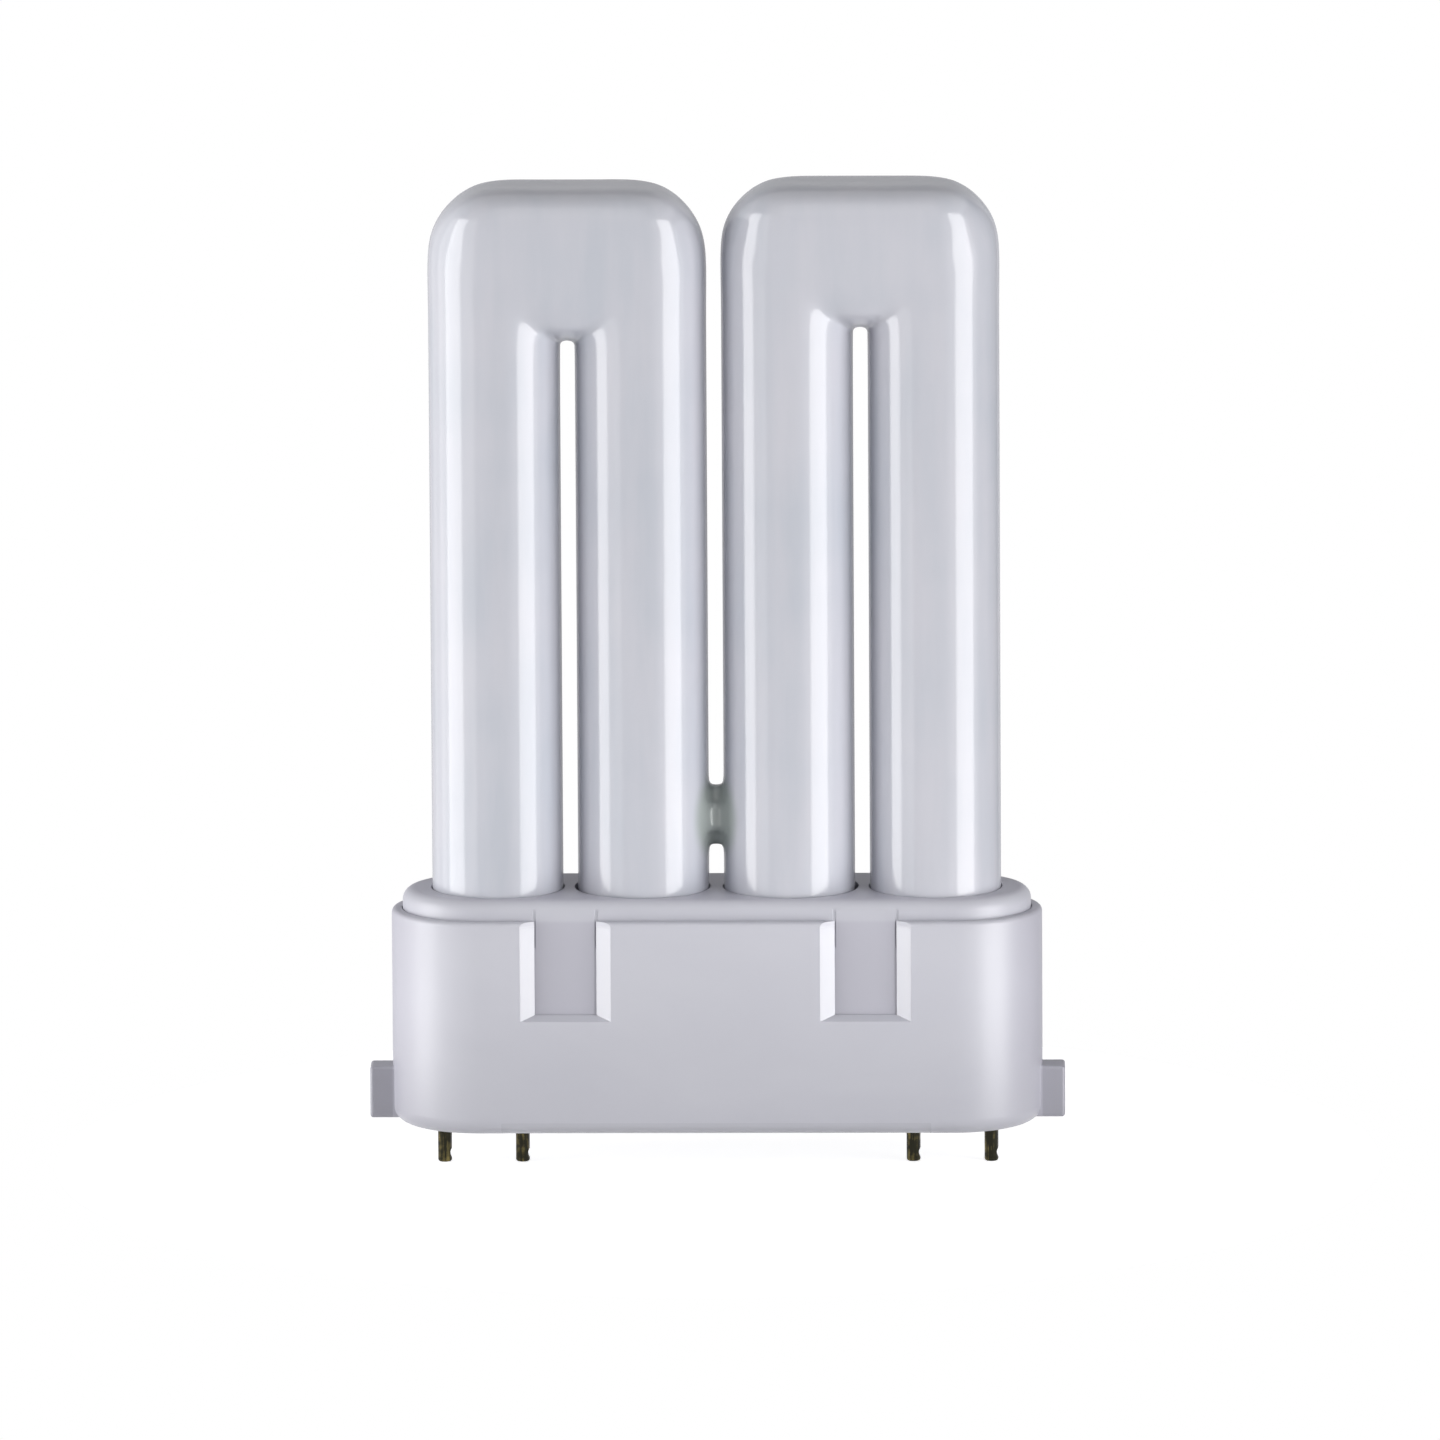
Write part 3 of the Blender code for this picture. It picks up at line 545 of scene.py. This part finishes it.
def model_bent_tube(glass, side, crown, bend_height, corner):
    """One bent tube as a cage of rings: pinched seal, outer leg, bend, inner leg, dome and exhaust tip."""
    radius = glass.tube_diameter / 2
    pitch = glass.tube_diameter + glass.leg_gap
    slot_radius = glass.leg_gap / 2
    outer_x = side * pitch * 1.5
    inner_x = side * pitch / 2
    slot_z = crown - bend_height - slot_radius
    levels = [glass.bridge_height + glass.bridge_size * k for k in (-1.5, -0.5, 0.5, 1.5)]
    levels.append((levels[-1] + slot_z) / 2)
    seal_top = glass.leg_end - glass.seal_taper
    seal_end = seal_top - glass.seal_length

    name = f"bent_tube_{'right' if side > 0 else 'left'}"
    tube = add(bpy.ops.mesh.primitive_circle_add, name, vertices=RING, location=(0.0, 0.0, 0.0))
    edit(tube)
    bpy.ops.mesh.select_all(action="SELECT")
    bpy.ops.mesh.delete(type="VERT")

    # The outer leg, from its pinched seal up to the bend.
    for z in (seal_end, seal_top):
        seal = (glass.seal_width / 2, glass.seal_thickness / 2)
        add_ring(tube, side, (outer_x, 0.0, z), *seal, squareness=(5.0, 5.0))
    for z in [glass.leg_end] + levels:
        add_ring(tube, side, (outer_x, 0.0, z), radius, radius)

    # The bend, whose rings stand round the slot. They are squared off where they reach up to the crown.
    for across, up in bend_stations(slot_radius, glass.tube_diameter, bend_height, corner):
        reach = math.hypot(across, up)
        middle = (reach + slot_radius) / 2
        centre = (side * (pitch + middle * across / reach), 0.0, slot_z + middle * up / reach)
        crown_share = rise_between(0.62, 1.0, up / reach)
        squareness = (2.0 + 3.8 * crown_share, 2.0 + 0.5 * crown_share)
        turn = side * math.atan2(up, across)
        add_ring(tube, side, centre, (reach - slot_radius) / 2, radius, turn, squareness)

    # The inner leg, down to its dome and the exhaust tip below it.
    for z in levels[::-1] + [glass.leg_end]:
        add_ring(tube, -side, (inner_x, 0.0, z), radius, radius, math.pi)
    dome = 0.35 * glass.tube_diameter
    for drop, share in ((0.6, 0.86), (1.0, 0.42)):
        centre = (inner_x, 0.0, glass.leg_end - drop * dome)
        add_ring(tube, -side, centre, radius * share, radius * share, math.pi)
    tip = glass.tip_diameter / 2
    for drop in (0.2, 1.0):
        centre = (inner_x, 0.0, glass.leg_end - dome - drop * glass.tip_length)
        add_ring(tube, -side, centre, tip, tip, math.pi)
    join_rings(tube)
    close_up()
    return tube


def fuse_bridge(piece, glass):
    """Open the two middle legs where they face each other and draw a waisted neck between them."""
    leg_x = (glass.tube_diameter + glass.leg_gap) / 2
    half = glass.bridge_size / 2
    wide_turn, narrow_turn = 23, 12  # degrees round a leg that open at the neck's middle and at its ends
    edit(piece)

    def faces_gap(face):
        centre = face.calc_center_median()
        turn = math.degrees(math.atan2(abs(centre.y), leg_x - abs(centre.x)))
        rise = abs(centre.z - glass.bridge_height)
        if abs(centre.x) > leg_x or rise > half or turn > wide_turn:
            return False
        return not (rise > half / 2 and turn > narrow_turn)

    pick(piece, "faces", faces_gap)
    bpy.ops.mesh.bridge_edge_loops(number_cuts=3)

    # The neck narrows between the legs, and its middle ring sinks into the seam where the two tubes melted.
    middle = (0.0, 0.0, glass.bridge_height)
    for reach, waist in ((0.40, (1.0, 0.86, 0.95)), (0.10, (0.5, 0.86, 1.0))):

        def in_neck(vert):
            low = abs(vert.co.z - glass.bridge_height) < glass.bridge_size
            return low and abs(vert.co.x) < reach * glass.leg_gap

        pick(piece, "verts", in_neck)
        bpy.ops.transform.resize(value=waist, center_override=middle)
    close_up()


class LAMP_OT_discharge_tube(bpy.types.Operator):
    """Model the sealed glass: two bent tubes fused by a bridge between the middle legs"""

    bl_idname = "lamp.discharge_tube"
    bl_label = "Discharge tube"

    def execute(self, context):
        glass = context.scene.lamp_glass
        left = model_bent_tube(glass, -1, glass.crown_left, glass.bend_left, glass.corner_left)
        right = model_bent_tube(glass, 1, glass.crown_right, glass.bend_right, glass.corner_right)
        take(right)
        left.select_set(True)
        bpy.ops.object.join()
        tube = named("glass_discharge_tube")
        apply_modifier(tube, "SUBSURF", levels=2, render_levels=2, use_limit_surface=False)
        fuse_bridge(tube, glass)
        apply_modifier(tube, "SUBSURF", levels=1, render_levels=1)
        material = coated_glass(context.scene.lamp_colours, glass)
        finish_piece(tube, material, "discharge_tube", 60)
        return {"FINISHED"}


# Cap


def add_stadium(name, half_length, half_depth, low, high):
    """A block with two straight sides and two half-round ends, open for editing.

    It is a round face, drawn apart along X and then up.
    """
    count = 96
    piece = add(
        bpy.ops.mesh.primitive_circle_add,
        name,
        vertices=count,
        radius=half_depth,
        fill_type="NGON",
        location=(0.0, 0.0, low),
        rotation=(0.0, 0.0, math.pi / count),
    )
    bpy.ops.object.transform_apply()
    edit(piece)
    for side in SIDES:
        pick(piece, "verts", lambda vert: vert.co.x * side > 0 and abs(vert.co.x) <= half_depth)
        bpy.ops.transform.translate(value=(side * (half_length - half_depth), 0.0, 0.0))
    bpy.ops.mesh.select_all(action="SELECT")
    draw_out(0.0, 0.0, high - low)
    bpy.ops.mesh.select_all(action="SELECT")
    bpy.ops.mesh.normals_make_consistent()
    return piece


def add_block(name, corner, opposite):
    """A block between two opposite corners, ready to be shaped."""
    centre = [(a + b) / 2 for a, b in zip(corner, opposite)]
    size = [abs(b - a) for a, b in zip(corner, opposite)]
    block = add(bpy.ops.mesh.primitive_cube_add, name, size=1.0, location=centre, scale=size)
    bpy.ops.object.transform_apply()
    return block


def add_rod(name, x, low, high, radius, sides=64):
    """An upright round rod."""
    size = {"vertices": sides, "radius": radius, "depth": high - low}
    rod = add(bpy.ops.mesh.primitive_cylinder_add, name, **size, location=(x, 0.0, (low + high) / 2))
    bpy.ops.object.transform_apply()
    return rod


def recess_tool(cap, side, face):
    """The solid that cuts one recess: a slot whose outer part flares and slopes down."""
    x = side * cap.recess_spacing / 2
    inner_wall = cap.housing_depth / 2 - cap.wall
    start = inner_wall + cap.recess_land
    depth = cap.housing_depth / 2 - start
    near = face * (inner_wall - cap.wall / 2)
    top = cap.housing_height + cap.wall
    half = cap.recess_width / 2
    tool = add_block("recess_tool", (x - half, near, cap.recess_sill), (x + half, face * start, top))
    edit(tool)
    # The flare runs on to twice the wall's depth, so its slopes are twice as wide and as low there.
    pick(tool, "faces", lambda f: f.normal.y * face > 0.9)
    draw_out(0.0, face * 2 * depth, 0.0)
    widen = (half + 2 * cap.recess_flare) / half
    bpy.ops.transform.resize(value=(widen, 1.0, 1.0), center_override=(x, 0.0, top))
    low = start + 1.5 * depth
    pick(tool, "verts", lambda vert: vert.co.y * face > low and vert.co.z < top - cap.wall)
    bpy.ops.transform.translate(value=(0.0, 0.0, -2 * cap.sill_drop))
    close_up()
    return tool


def pin_places(pins):
    """The places of the four pins along X, from left to right."""
    return [pair * pins.pair_spacing / 2 + half * pins.pitch / 2 for pair, half in product(SIDES, SIDES)]


class LAMP_OT_housing(bpy.types.Operator):
    """Model the moulded housing: tray, lugs, recesses, pin bosses and pin holes"""

    bl_idname = "lamp.housing"
    bl_label = "Housing"

    def execute(self, context):
        cap = context.scene.lamp_cap
        pins = context.scene.lamp_pins
        half_length = cap.housing_length / 2
        half_depth = cap.housing_depth / 2
        straight = half_length - half_depth
        top = cap.housing_height
        housing = add_stadium("moulded_housing", half_length, half_depth, 0.0, top)

        # Sink the hollow from the top, then round the rim and the edge round the seat.
        pick(housing, "faces", lambda f: f.normal.z > 0.9)
        bpy.ops.mesh.inset(thickness=cap.wall)
        draw_out(0.0, 0.0, cap.floor - top)

        def outer(co):
            return math.hypot(max(abs(co.x) - straight, 0.0), co.y) > half_depth - cap.wall / 4

        round_edges(housing, cap.rim_edge, 5, lambda co: outer(co) and co.z > top - NEAR)
        round_edges(housing, cap.seat_edge, 8, lambda co: outer(co) and co.z < NEAR)
        close_up()

        # Lugs, rounded on every edge, grow out of the end walls.
        for side in SIDES:
            root = side * (half_length - cap.lug_root)
            end = side * (half_length + cap.lug_length)
            low = (root, -cap.lug_depth / 2, cap.lug_rise)
            lug = add_block("lug", low, (end, cap.lug_depth / 2, cap.lug_rise + cap.lug_height))
            edit(lug)
            pick(lug, "edges", lambda e: any(abs(v.co.x - root) > NEAR for v in e.verts))
            bpy.ops.mesh.bevel(offset=cap.lug_edge, segments=5)
            close_up()
            combine(housing, lug, "UNION")

        for x in pin_places(pins):
            boss = add_rod("boss", x, cap.floor / 2, cap.floor + cap.boss_height, cap.boss_diameter / 2)
            edit(boss)
            round_edges(boss, cap.boss_height * 0.1, 2, lambda co: co.z > cap.floor + cap.boss_height / 2)
            close_up()
            combine(housing, boss, "UNION")

        # Stop ribs under the tongues' edges keep the lid from sinking in.
        inner_wall = half_depth - cap.wall
        reach = cap.recess_width / 2 + cap.tongue_overlap - cap.rib_width / 2
        rib_top = cap.recess_sill - cap.tongue_tuck - cap.seat_gap
        for side, face, edge in product(SIDES, repeat=3):
            x = side * cap.recess_spacing / 2 + edge * reach
            low = (x - cap.rib_width / 2, face * (inner_wall - cap.rib_depth), cap.floor / 2)
            high = (x + cap.rib_width / 2, face * (inner_wall + cap.wall / 2), rib_top)
            combine(housing, add_block("stop_rib", low, high), "UNION")

        for side, face in product(SIDES, repeat=2):
            combine(housing, recess_tool(cap, side, face), "DIFFERENCE")

        hole = pins.diameter / 2 + cap.seat_gap
        for x in pin_places(pins):
            drill = add_rod("drill", x, -cap.floor, cap.floor + 2 * cap.boss_height, hole)
            combine(housing, drill, "DIFFERENCE")

        colours = context.scene.lamp_colours
        # Painted shade: the side lights make the ends bright, so they are darkened, and the lugs, which sit
        # in shade behind the round ends, are darker still.
        shaded_end = 0.0085
        painted_shade_places = [
            ("X", half_length - shaded_end, half_length, colours.faint_painted_shade),
            ("X", half_length - NEAR, half_length + NEAR, colours.painted_shade),
        ]
        # The slides that form the recesses' flares are polished, so the flares shine. They lie deeper than
        # the faces of the straight sides, between the round ends and below the rim.
        skin = 0.00004
        polish_places = [
            ("Y", half_depth - skin, half_depth - 3 * skin),
            ("X", straight - 0.0025, straight - 0.0030),
            ("Z", top - cap.rim_edge, top - cap.rim_edge - 0.0002),
        ]
        shades = (colours.housing, colours.housing_shade)
        name = "moulded_polyester_housing"
        plastic = moulded_plastic(name, *shades, 0.36, painted_shade_places, polish_places)
        finish_moulding(housing, cap.housing_break, plastic, "base_housing")
        return {"FINISHED"}


class LAMP_OT_lid(bpy.types.Operator):
    """Model the moulded lid that holds the legs: plate, skirt and the four tongues behind the recesses"""

    bl_idname = "lamp.lid"
    bl_label = "Lid"

    def execute(self, context):
        cap = context.scene.lamp_cap
        glass = context.scene.lamp_glass
        inset = cap.wall + cap.fit
        half_length = cap.housing_length / 2 - inset
        half_depth = cap.housing_depth / 2 - inset
        top = cap.housing_height + cap.lid_rise
        tongue_end = cap.recess_sill - cap.tongue_tuck
        skirt_end = cap.housing_height - cap.skirt_depth
        tongue_half = cap.recess_width / 2 + cap.tongue_overlap
        lid = add_stadium("moulded_lid", half_length, half_depth, tongue_end, top)

        # Hollow the block from below and round the top edge.
        pick(lid, "faces", lambda f: f.normal.z < -0.9)
        bpy.ops.mesh.inset(thickness=cap.skirt)
        draw_out(0.0, 0.0, top - cap.plate - tongue_end)
        round_edges(lid, cap.lid_edge, 8, lambda co: co.z > top - NEAR)
        close_up()

        # Drill the four holes. The two in the middle are a little wider outwards.
        pitch = glass.tube_diameter + glass.leg_gap
        hole = glass.tube_diameter / 2 + cap.leg_clearance
        for place, ease in ((-1.5, 0), (-0.5, -cap.hole_ease), (0.5, cap.hole_ease), (1.5, 0)):
            x = place * pitch + ease
            drill = add_rod("drill", x, top - 2 * cap.plate, top + cap.plate, hole + abs(ease), 96)
            combine(lid, drill, "DIFFERENCE")

        # Cut the skirt back everywhere but at the tongues.
        middle = cap.recess_spacing / 2
        end = half_length + cap.wall
        across = half_depth + cap.wall
        for low_x, high_x in (
            (-end, -middle - tongue_half),
            (-middle + tongue_half, middle - tongue_half),
            (middle + tongue_half, end),
        ):
            low = (low_x, -across, tongue_end - cap.wall)
            combine(lid, add_block("cutback", low, (high_x, across, skirt_end)), "DIFFERENCE")

        # A fine groove beside each tongue shows where the mould's slide met.
        for side, face, mark in product(SIDES, repeat=3):
            x = side * middle + mark * (tongue_half - cap.groove_width)
            low = (x - cap.groove_width / 2, face * (half_depth - cap.groove_depth), skirt_end)
            high = (x + cap.groove_width / 2, face * across, top + cap.plate)
            combine(lid, add_block("groove", low, high), "DIFFERENCE")

        # Painted shade: the top face, which gets little light from above and lies in shade between the
        # legs, and the tongues in the recesses are darkened.
        colours = context.scene.lamp_colours
        fade = 0.0004
        painted_shade_places = [
            ("Z", top - fade, top, colours.faint_painted_shade),
            ("Z", cap.housing_height + fade / 2, cap.housing_height - fade, colours.faint_painted_shade),
        ]
        shades = (colours.lid, colours.lid_shade)
        plastic = moulded_plastic("moulded_polyester_lid", *shades, 0.40, painted_shade_places)
        finish_moulding(lid, cap.lid_break, plastic, "tube_holder")
        return {"FINISHED"}


# Pins and inner parts


def model_pin(pins, seat):
    """One hollow pin on the Z axis: a rod with a collar, a bore, a rounded tip and a crimp."""
    radius = pins.diameter / 2
    tip = -pins.reach
    top = seat + pins.head
    pin = add_rod("contact_pin", 0.0, tip, seat, radius, 48)
    edit(pin)
    # Step out to the collar, up, in again to the pin and up to its head.
    pick(pin, "faces", lambda f: f.normal.z > 0.9)
    wide = pins.collar_diameter / pins.diameter
    for share, rise in ((wide, pins.collar_height), (1 / wide, pins.head - pins.collar_height)):
        draw_out(0.0, 0.0, 0.0)
        bpy.ops.transform.resize(value=(share, share, 1.0), center_override=(0.0, 0.0, seat))
        draw_out(0.0, 0.0, rise)
    round_edges(pin, pins.tip_edge, 4, lambda co: co.z < tip + NEAR)
    close_up()
    combine(pin, add_rod("bore", 0.0, tip - radius, top + radius, pins.bore / 2, 32), "DIFFERENCE")
    crimp = add(
        bpy.ops.mesh.primitive_cylinder_add,
        "crimp_tool",
        vertices=48,
        radius=pins.crimp_radius,
        depth=pins.diameter * 2,
        location=(radius + pins.crimp_radius - pins.crimp_depth, 0.0, tip + pins.crimp_rise),
        rotation=(math.pi / 2, 0.0, 0.0),
    )
    combine(pin, crimp, "DIFFERENCE")
    return pin


class LAMP_OT_contact_pins(bpy.types.Operator):
    """Model one contact pin and set a copy at each of the four places"""

    bl_idname = "lamp.contact_pins"
    bl_label = "Contact pins"

    def execute(self, context):
        pins = context.scene.lamp_pins
        cap = context.scene.lamp_cap
        first = model_pin(pins, cap.floor + cap.boss_height + cap.seat_gap)
        brass = darkened_brass(context.scene.lamp_colours)
        for number, x in enumerate(pin_places(pins), 1):
            take(first)
            bpy.ops.object.duplicate()
            pin = named(f"brass_pin_{number}")
            bpy.ops.transform.translate(value=(x, 0.0, 0.0))
            finish_piece(pin, brass, f"contact_pin_{number}", 40)
        bpy.data.objects.remove(first)
        return {"FINISHED"}


class LAMP_OT_inner_parts(bpy.types.Operator):
    """Give the lead wires and the cement inside the cap their materials"""

    bl_idname = "lamp.inner_parts"
    bl_label = "Wires and cement"

    def execute(self, context):
        colours = context.scene.lamp_colours
        finishes = {"lead_wire": drawn_nickel(colours), "cement_dab": baked_cement(colours)}
        for name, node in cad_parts.items():
            for start, finish in finishes.items():
                if name.startswith(start):
                    node.material_slots[0].material = finish
        return {"FINISHED"}


# Studio


def seen_directly(tree):
    """1 for what the camera, a reflection or clear glass sees, and 0 for light that falls on a surface."""
    seen = 0.0
    for ray in ("Camera", "Glossy", "Transmission"):
        hit = add_node(tree, "LightPath", {}, out=f"Is {ray} Ray")
        seen = add_node(tree, "Math", {0: seen, 1: hit}, operation="MAXIMUM")
    return seen


def white_paper():
    """White seamless paper: matt, plain and bright where it is seen, with the lamp's soft shadow on it."""
    material, tree, shader, place = start_material("white_seamless_paper")
    # Fibre clouds 6 mm across vary the tone by one part in a hundred.
    fibres = add_node(tree, "TexNoise", {"Vector": place, "Scale": per_metre(6.0), "Detail": 4.0})
    sheet = {"Factor": fibres, FIRST: linear("E7E7E7"), SECOND: linear("E6E6E6")}
    tint = add_node(tree, "Mix", sheet, **COLOURS)
    feed(shader, {"Base Color": tint, "Roughness": 0.9, "Specular IOR Level": 0.1})
    glow = add_node(tree, "Emission", {"Color": linear("FFFFFF"), "Strength": 0.80})
    lit = add_node(tree, "AddShader", {0: shader.outputs[0], 1: glow})
    show = add_node(tree, "MixShader", {0: seen_directly(tree), 1: shader.outputs[0], 2: lit})
    feed(tree.nodes["Material Output"], {"Surface": show})
    return material


def black_felt():
    """Black felt of a studio flag: matt, and a little lighter where its nap lies over."""
    material, tree, shader, place = start_material("black_felt")
    # Nap clouds 20 mm across.
    nap = add_node(tree, "TexNoise", {"Vector": place, "Scale": per_metre(20.0), "Detail": 3.0})
    wool = {"Factor": nap, FIRST: linear("1D1D1D"), SECOND: linear("272727")}
    feed(shader, {"Base Color": add_node(tree, "Mix", wool, **COLOURS), "Roughness": 1.0})
    return material


def grey_card():
    """Matt printed card that glows evenly with its own grey, as if lit, so it reads as an even grey in the
    glass's edges.
    """
    material, tree, shader, place = start_material("grey_card")
    # Print mottle 15 mm across.
    mottle = add_node(tree, "TexNoise", {"Vector": place, "Scale": per_metre(15.0), "Detail": 2.0})
    print_tone = {"Factor": mottle, FIRST: linear("959597"), SECOND: linear("909093")}
    tint = add_node(tree, "Mix", print_tone, **COLOURS)
    feed(shader, {"Base Color": tint, "Emission Color": tint, "Emission Strength": 1.0, "Roughness": 0.9})
    return material


def way_to(turn, lift):
    """The direction of something that stands round the lamp to the right and above it."""
    return Vector((math.sin(turn) * math.cos(lift), -math.cos(turn) * math.cos(lift), math.sin(lift)))


def add_softbox(name, way, distance, width, height, brightness, target):
    """A rectangular softbox that faces the lamp, unseen by the camera."""
    lamp = add(bpy.ops.object.light_add, name, type="AREA", location=target + way * distance)
    lamp.rotation_euler = (-way).to_track_quat("-Z", "Y").to_euler()
    lamp.data.shape = "RECTANGLE"
    lamp.data.size = width
    lamp.data.size_y = height
    lamp.data.energy = brightness * math.pi * width * height
    lamp.visible_camera = False


def add_board(name, place, turn, width, height, material):
    """An upright board beside the lamp, unseen by the camera."""
    upright = (math.pi / 2, 0.0, turn)
    board = add(bpy.ops.mesh.primitive_plane_add, name, size=height, location=place, rotation=upright)
    board.scale.x = width / height
    board.visible_camera = False
    board.data.materials.append(material)


class LAMP_OT_studio(bpy.types.Operator):
    """Set up the pale table, the soft light and the camera"""

    bl_idname = "lamp.studio"
    bl_label = "Studio"

    def execute(self, context):
        studio = context.scene.lamp_studio
        target = Vector((0.0, 0.0, studio.middle))

        table = add(
            bpy.ops.mesh.primitive_circle_add,
            "table",
            vertices=128,
            radius=studio.table_radius,
            fill_type="NGON",
            location=(0.0, 0.0, -context.scene.lamp_pins.reach),
        )
        table.data.materials.append(white_paper())

        # A black flag behind the right softbox keeps the right flank of the last leg from glaring.
        flag_place = target + way_to(studio.flag_turn, 0.0) * studio.board_distance
        add_board("flag_right", flag_place, studio.flag_turn, 1.05, 1.0, black_felt())
        # A grey card behind the lamp keeps the glass's edges from melting into the white.
        card_place = target + Vector((0.0, studio.board_distance, studio.card_rise))
        add_board("grey_card", card_place, 0.0, 1.6, 1.6, grey_card())

        world = bpy.data.worlds.new("white_studio")
        world.use_nodes = True
        context.scene.world = world
        tree = world.node_tree
        ambient = tree.nodes["Background"]
        feed(ambient, {"Color": linear("FCFDFF"), "Strength": 0.09})
        white = add_node(tree, "Background", {"Color": linear("FFFFFF"), "Strength": 1.0})
        show = add_node(tree, "MixShader", {0: seen_directly(tree), 1: ambient.outputs[0], 2: white})
        feed(tree.nodes["World Output"], {"Surface": show})

        # Each side has a tall softbox with a bright middle and a faint wide edge. The values are degrees
        # round the lamp and up, width, height and brightness.
        for name, turn, lift, *box in (
            ("softbox_right", 57, 0, 0.52, 0.95, 5.1),
            ("softbox_right_edge", 54, 0, 0.90, 0.95, 0.6),
            ("softbox_left", -76, 0, 0.52, 0.95, 4.1),
            ("softbox_left_edge", -74, 0, 1.40, 0.95, 1.2),
            ("fill_front", 0, 40, 0.60, 0.60, 0.6),
        ):
            way = way_to(math.radians(turn), math.radians(lift))
            add_softbox(name, way, studio.softbox_distance, *box, target)

        turn, lift = studio.turn, studio.lift
        tilt = Euler((0.0, 0.0, studio.roll)).to_matrix()
        aim = Euler((math.pi / 2 - lift, 0.0, turn)).to_matrix() @ tilt
        place = target + way_to(turn, lift) * studio.distance
        camera = add(bpy.ops.object.camera_add, "camera", location=place, rotation=aim.to_euler())
        camera.data.sensor_width = 36.0
        camera.data.lens = PIXELS_PER_METRE * studio.distance * camera.data.sensor_width / PICTURE_SIDE
        camera.data.shift_x = (PICTURE_SIDE / 2 - TARGET_PIXEL[0]) / PICTURE_SIDE
        camera.data.shift_y = (TARGET_PIXEL[1] - PICTURE_SIDE / 2) / PICTURE_SIDE
        camera.data.clip_end = 20.0
        context.scene.camera = camera
        context.scene.view_settings.view_transform = "Standard"
        return {"FINISHED"}


class LAMP_PT_sidebar(bpy.types.Panel):
    """Sizes, colours and steps of the lamp"""

    bl_idname = "LAMP_PT_sidebar"
    bl_label = "Compact fluorescent lamp"
    bl_space_type = "VIEW_3D"
    bl_region_type = "UI"
    bl_category = "Lamp"

    def draw(self, context):
        for operator in OPERATORS:
            self.layout.operator(operator.bl_idname)
        for name in GROUPS:
            box = self.layout.box()
            box.label(text=name.replace("lamp_", "").title())
            group = getattr(context.scene, name)
            for key in group.bl_rna.properties.keys():
                if key not in ("rna_type", "name"):
                    box.prop(group, key, text=key.replace("_", " ").capitalize())


GROUPS = {
    "lamp_glass": GlassSizes,
    "lamp_cap": CapSizes,
    "lamp_pins": PinSizes,
    "lamp_colours": LampColours,
    "lamp_studio": StudioSizes,
}
OPERATORS = (
    LAMP_OT_discharge_tube,
    LAMP_OT_housing,
    LAMP_OT_lid,
    LAMP_OT_contact_pins,
    LAMP_OT_inner_parts,
    LAMP_OT_studio,
)


def register():
    for kind in (*GROUPS.values(), *OPERATORS, LAMP_PT_sidebar):
        bpy.utils.register_class(kind)
    for name, group in GROUPS.items():
        setattr(bpy.types.Scene, name, PointerProperty(type=group))


def unregister():
    for name in GROUPS:
        delattr(bpy.types.Scene, name)
    for kind in reversed((*GROUPS.values(), *OPERATORS, LAMP_PT_sidebar)):
        bpy.utils.unregister_class(kind)


def main():
    register()
    bpy.ops.lamp.discharge_tube()
    bpy.ops.lamp.housing()
    bpy.ops.lamp.lid()
    bpy.ops.lamp.contact_pins()
    bpy.ops.lamp.inner_parts()
    bpy.ops.lamp.studio()


if __name__ == "__main__":
    main()
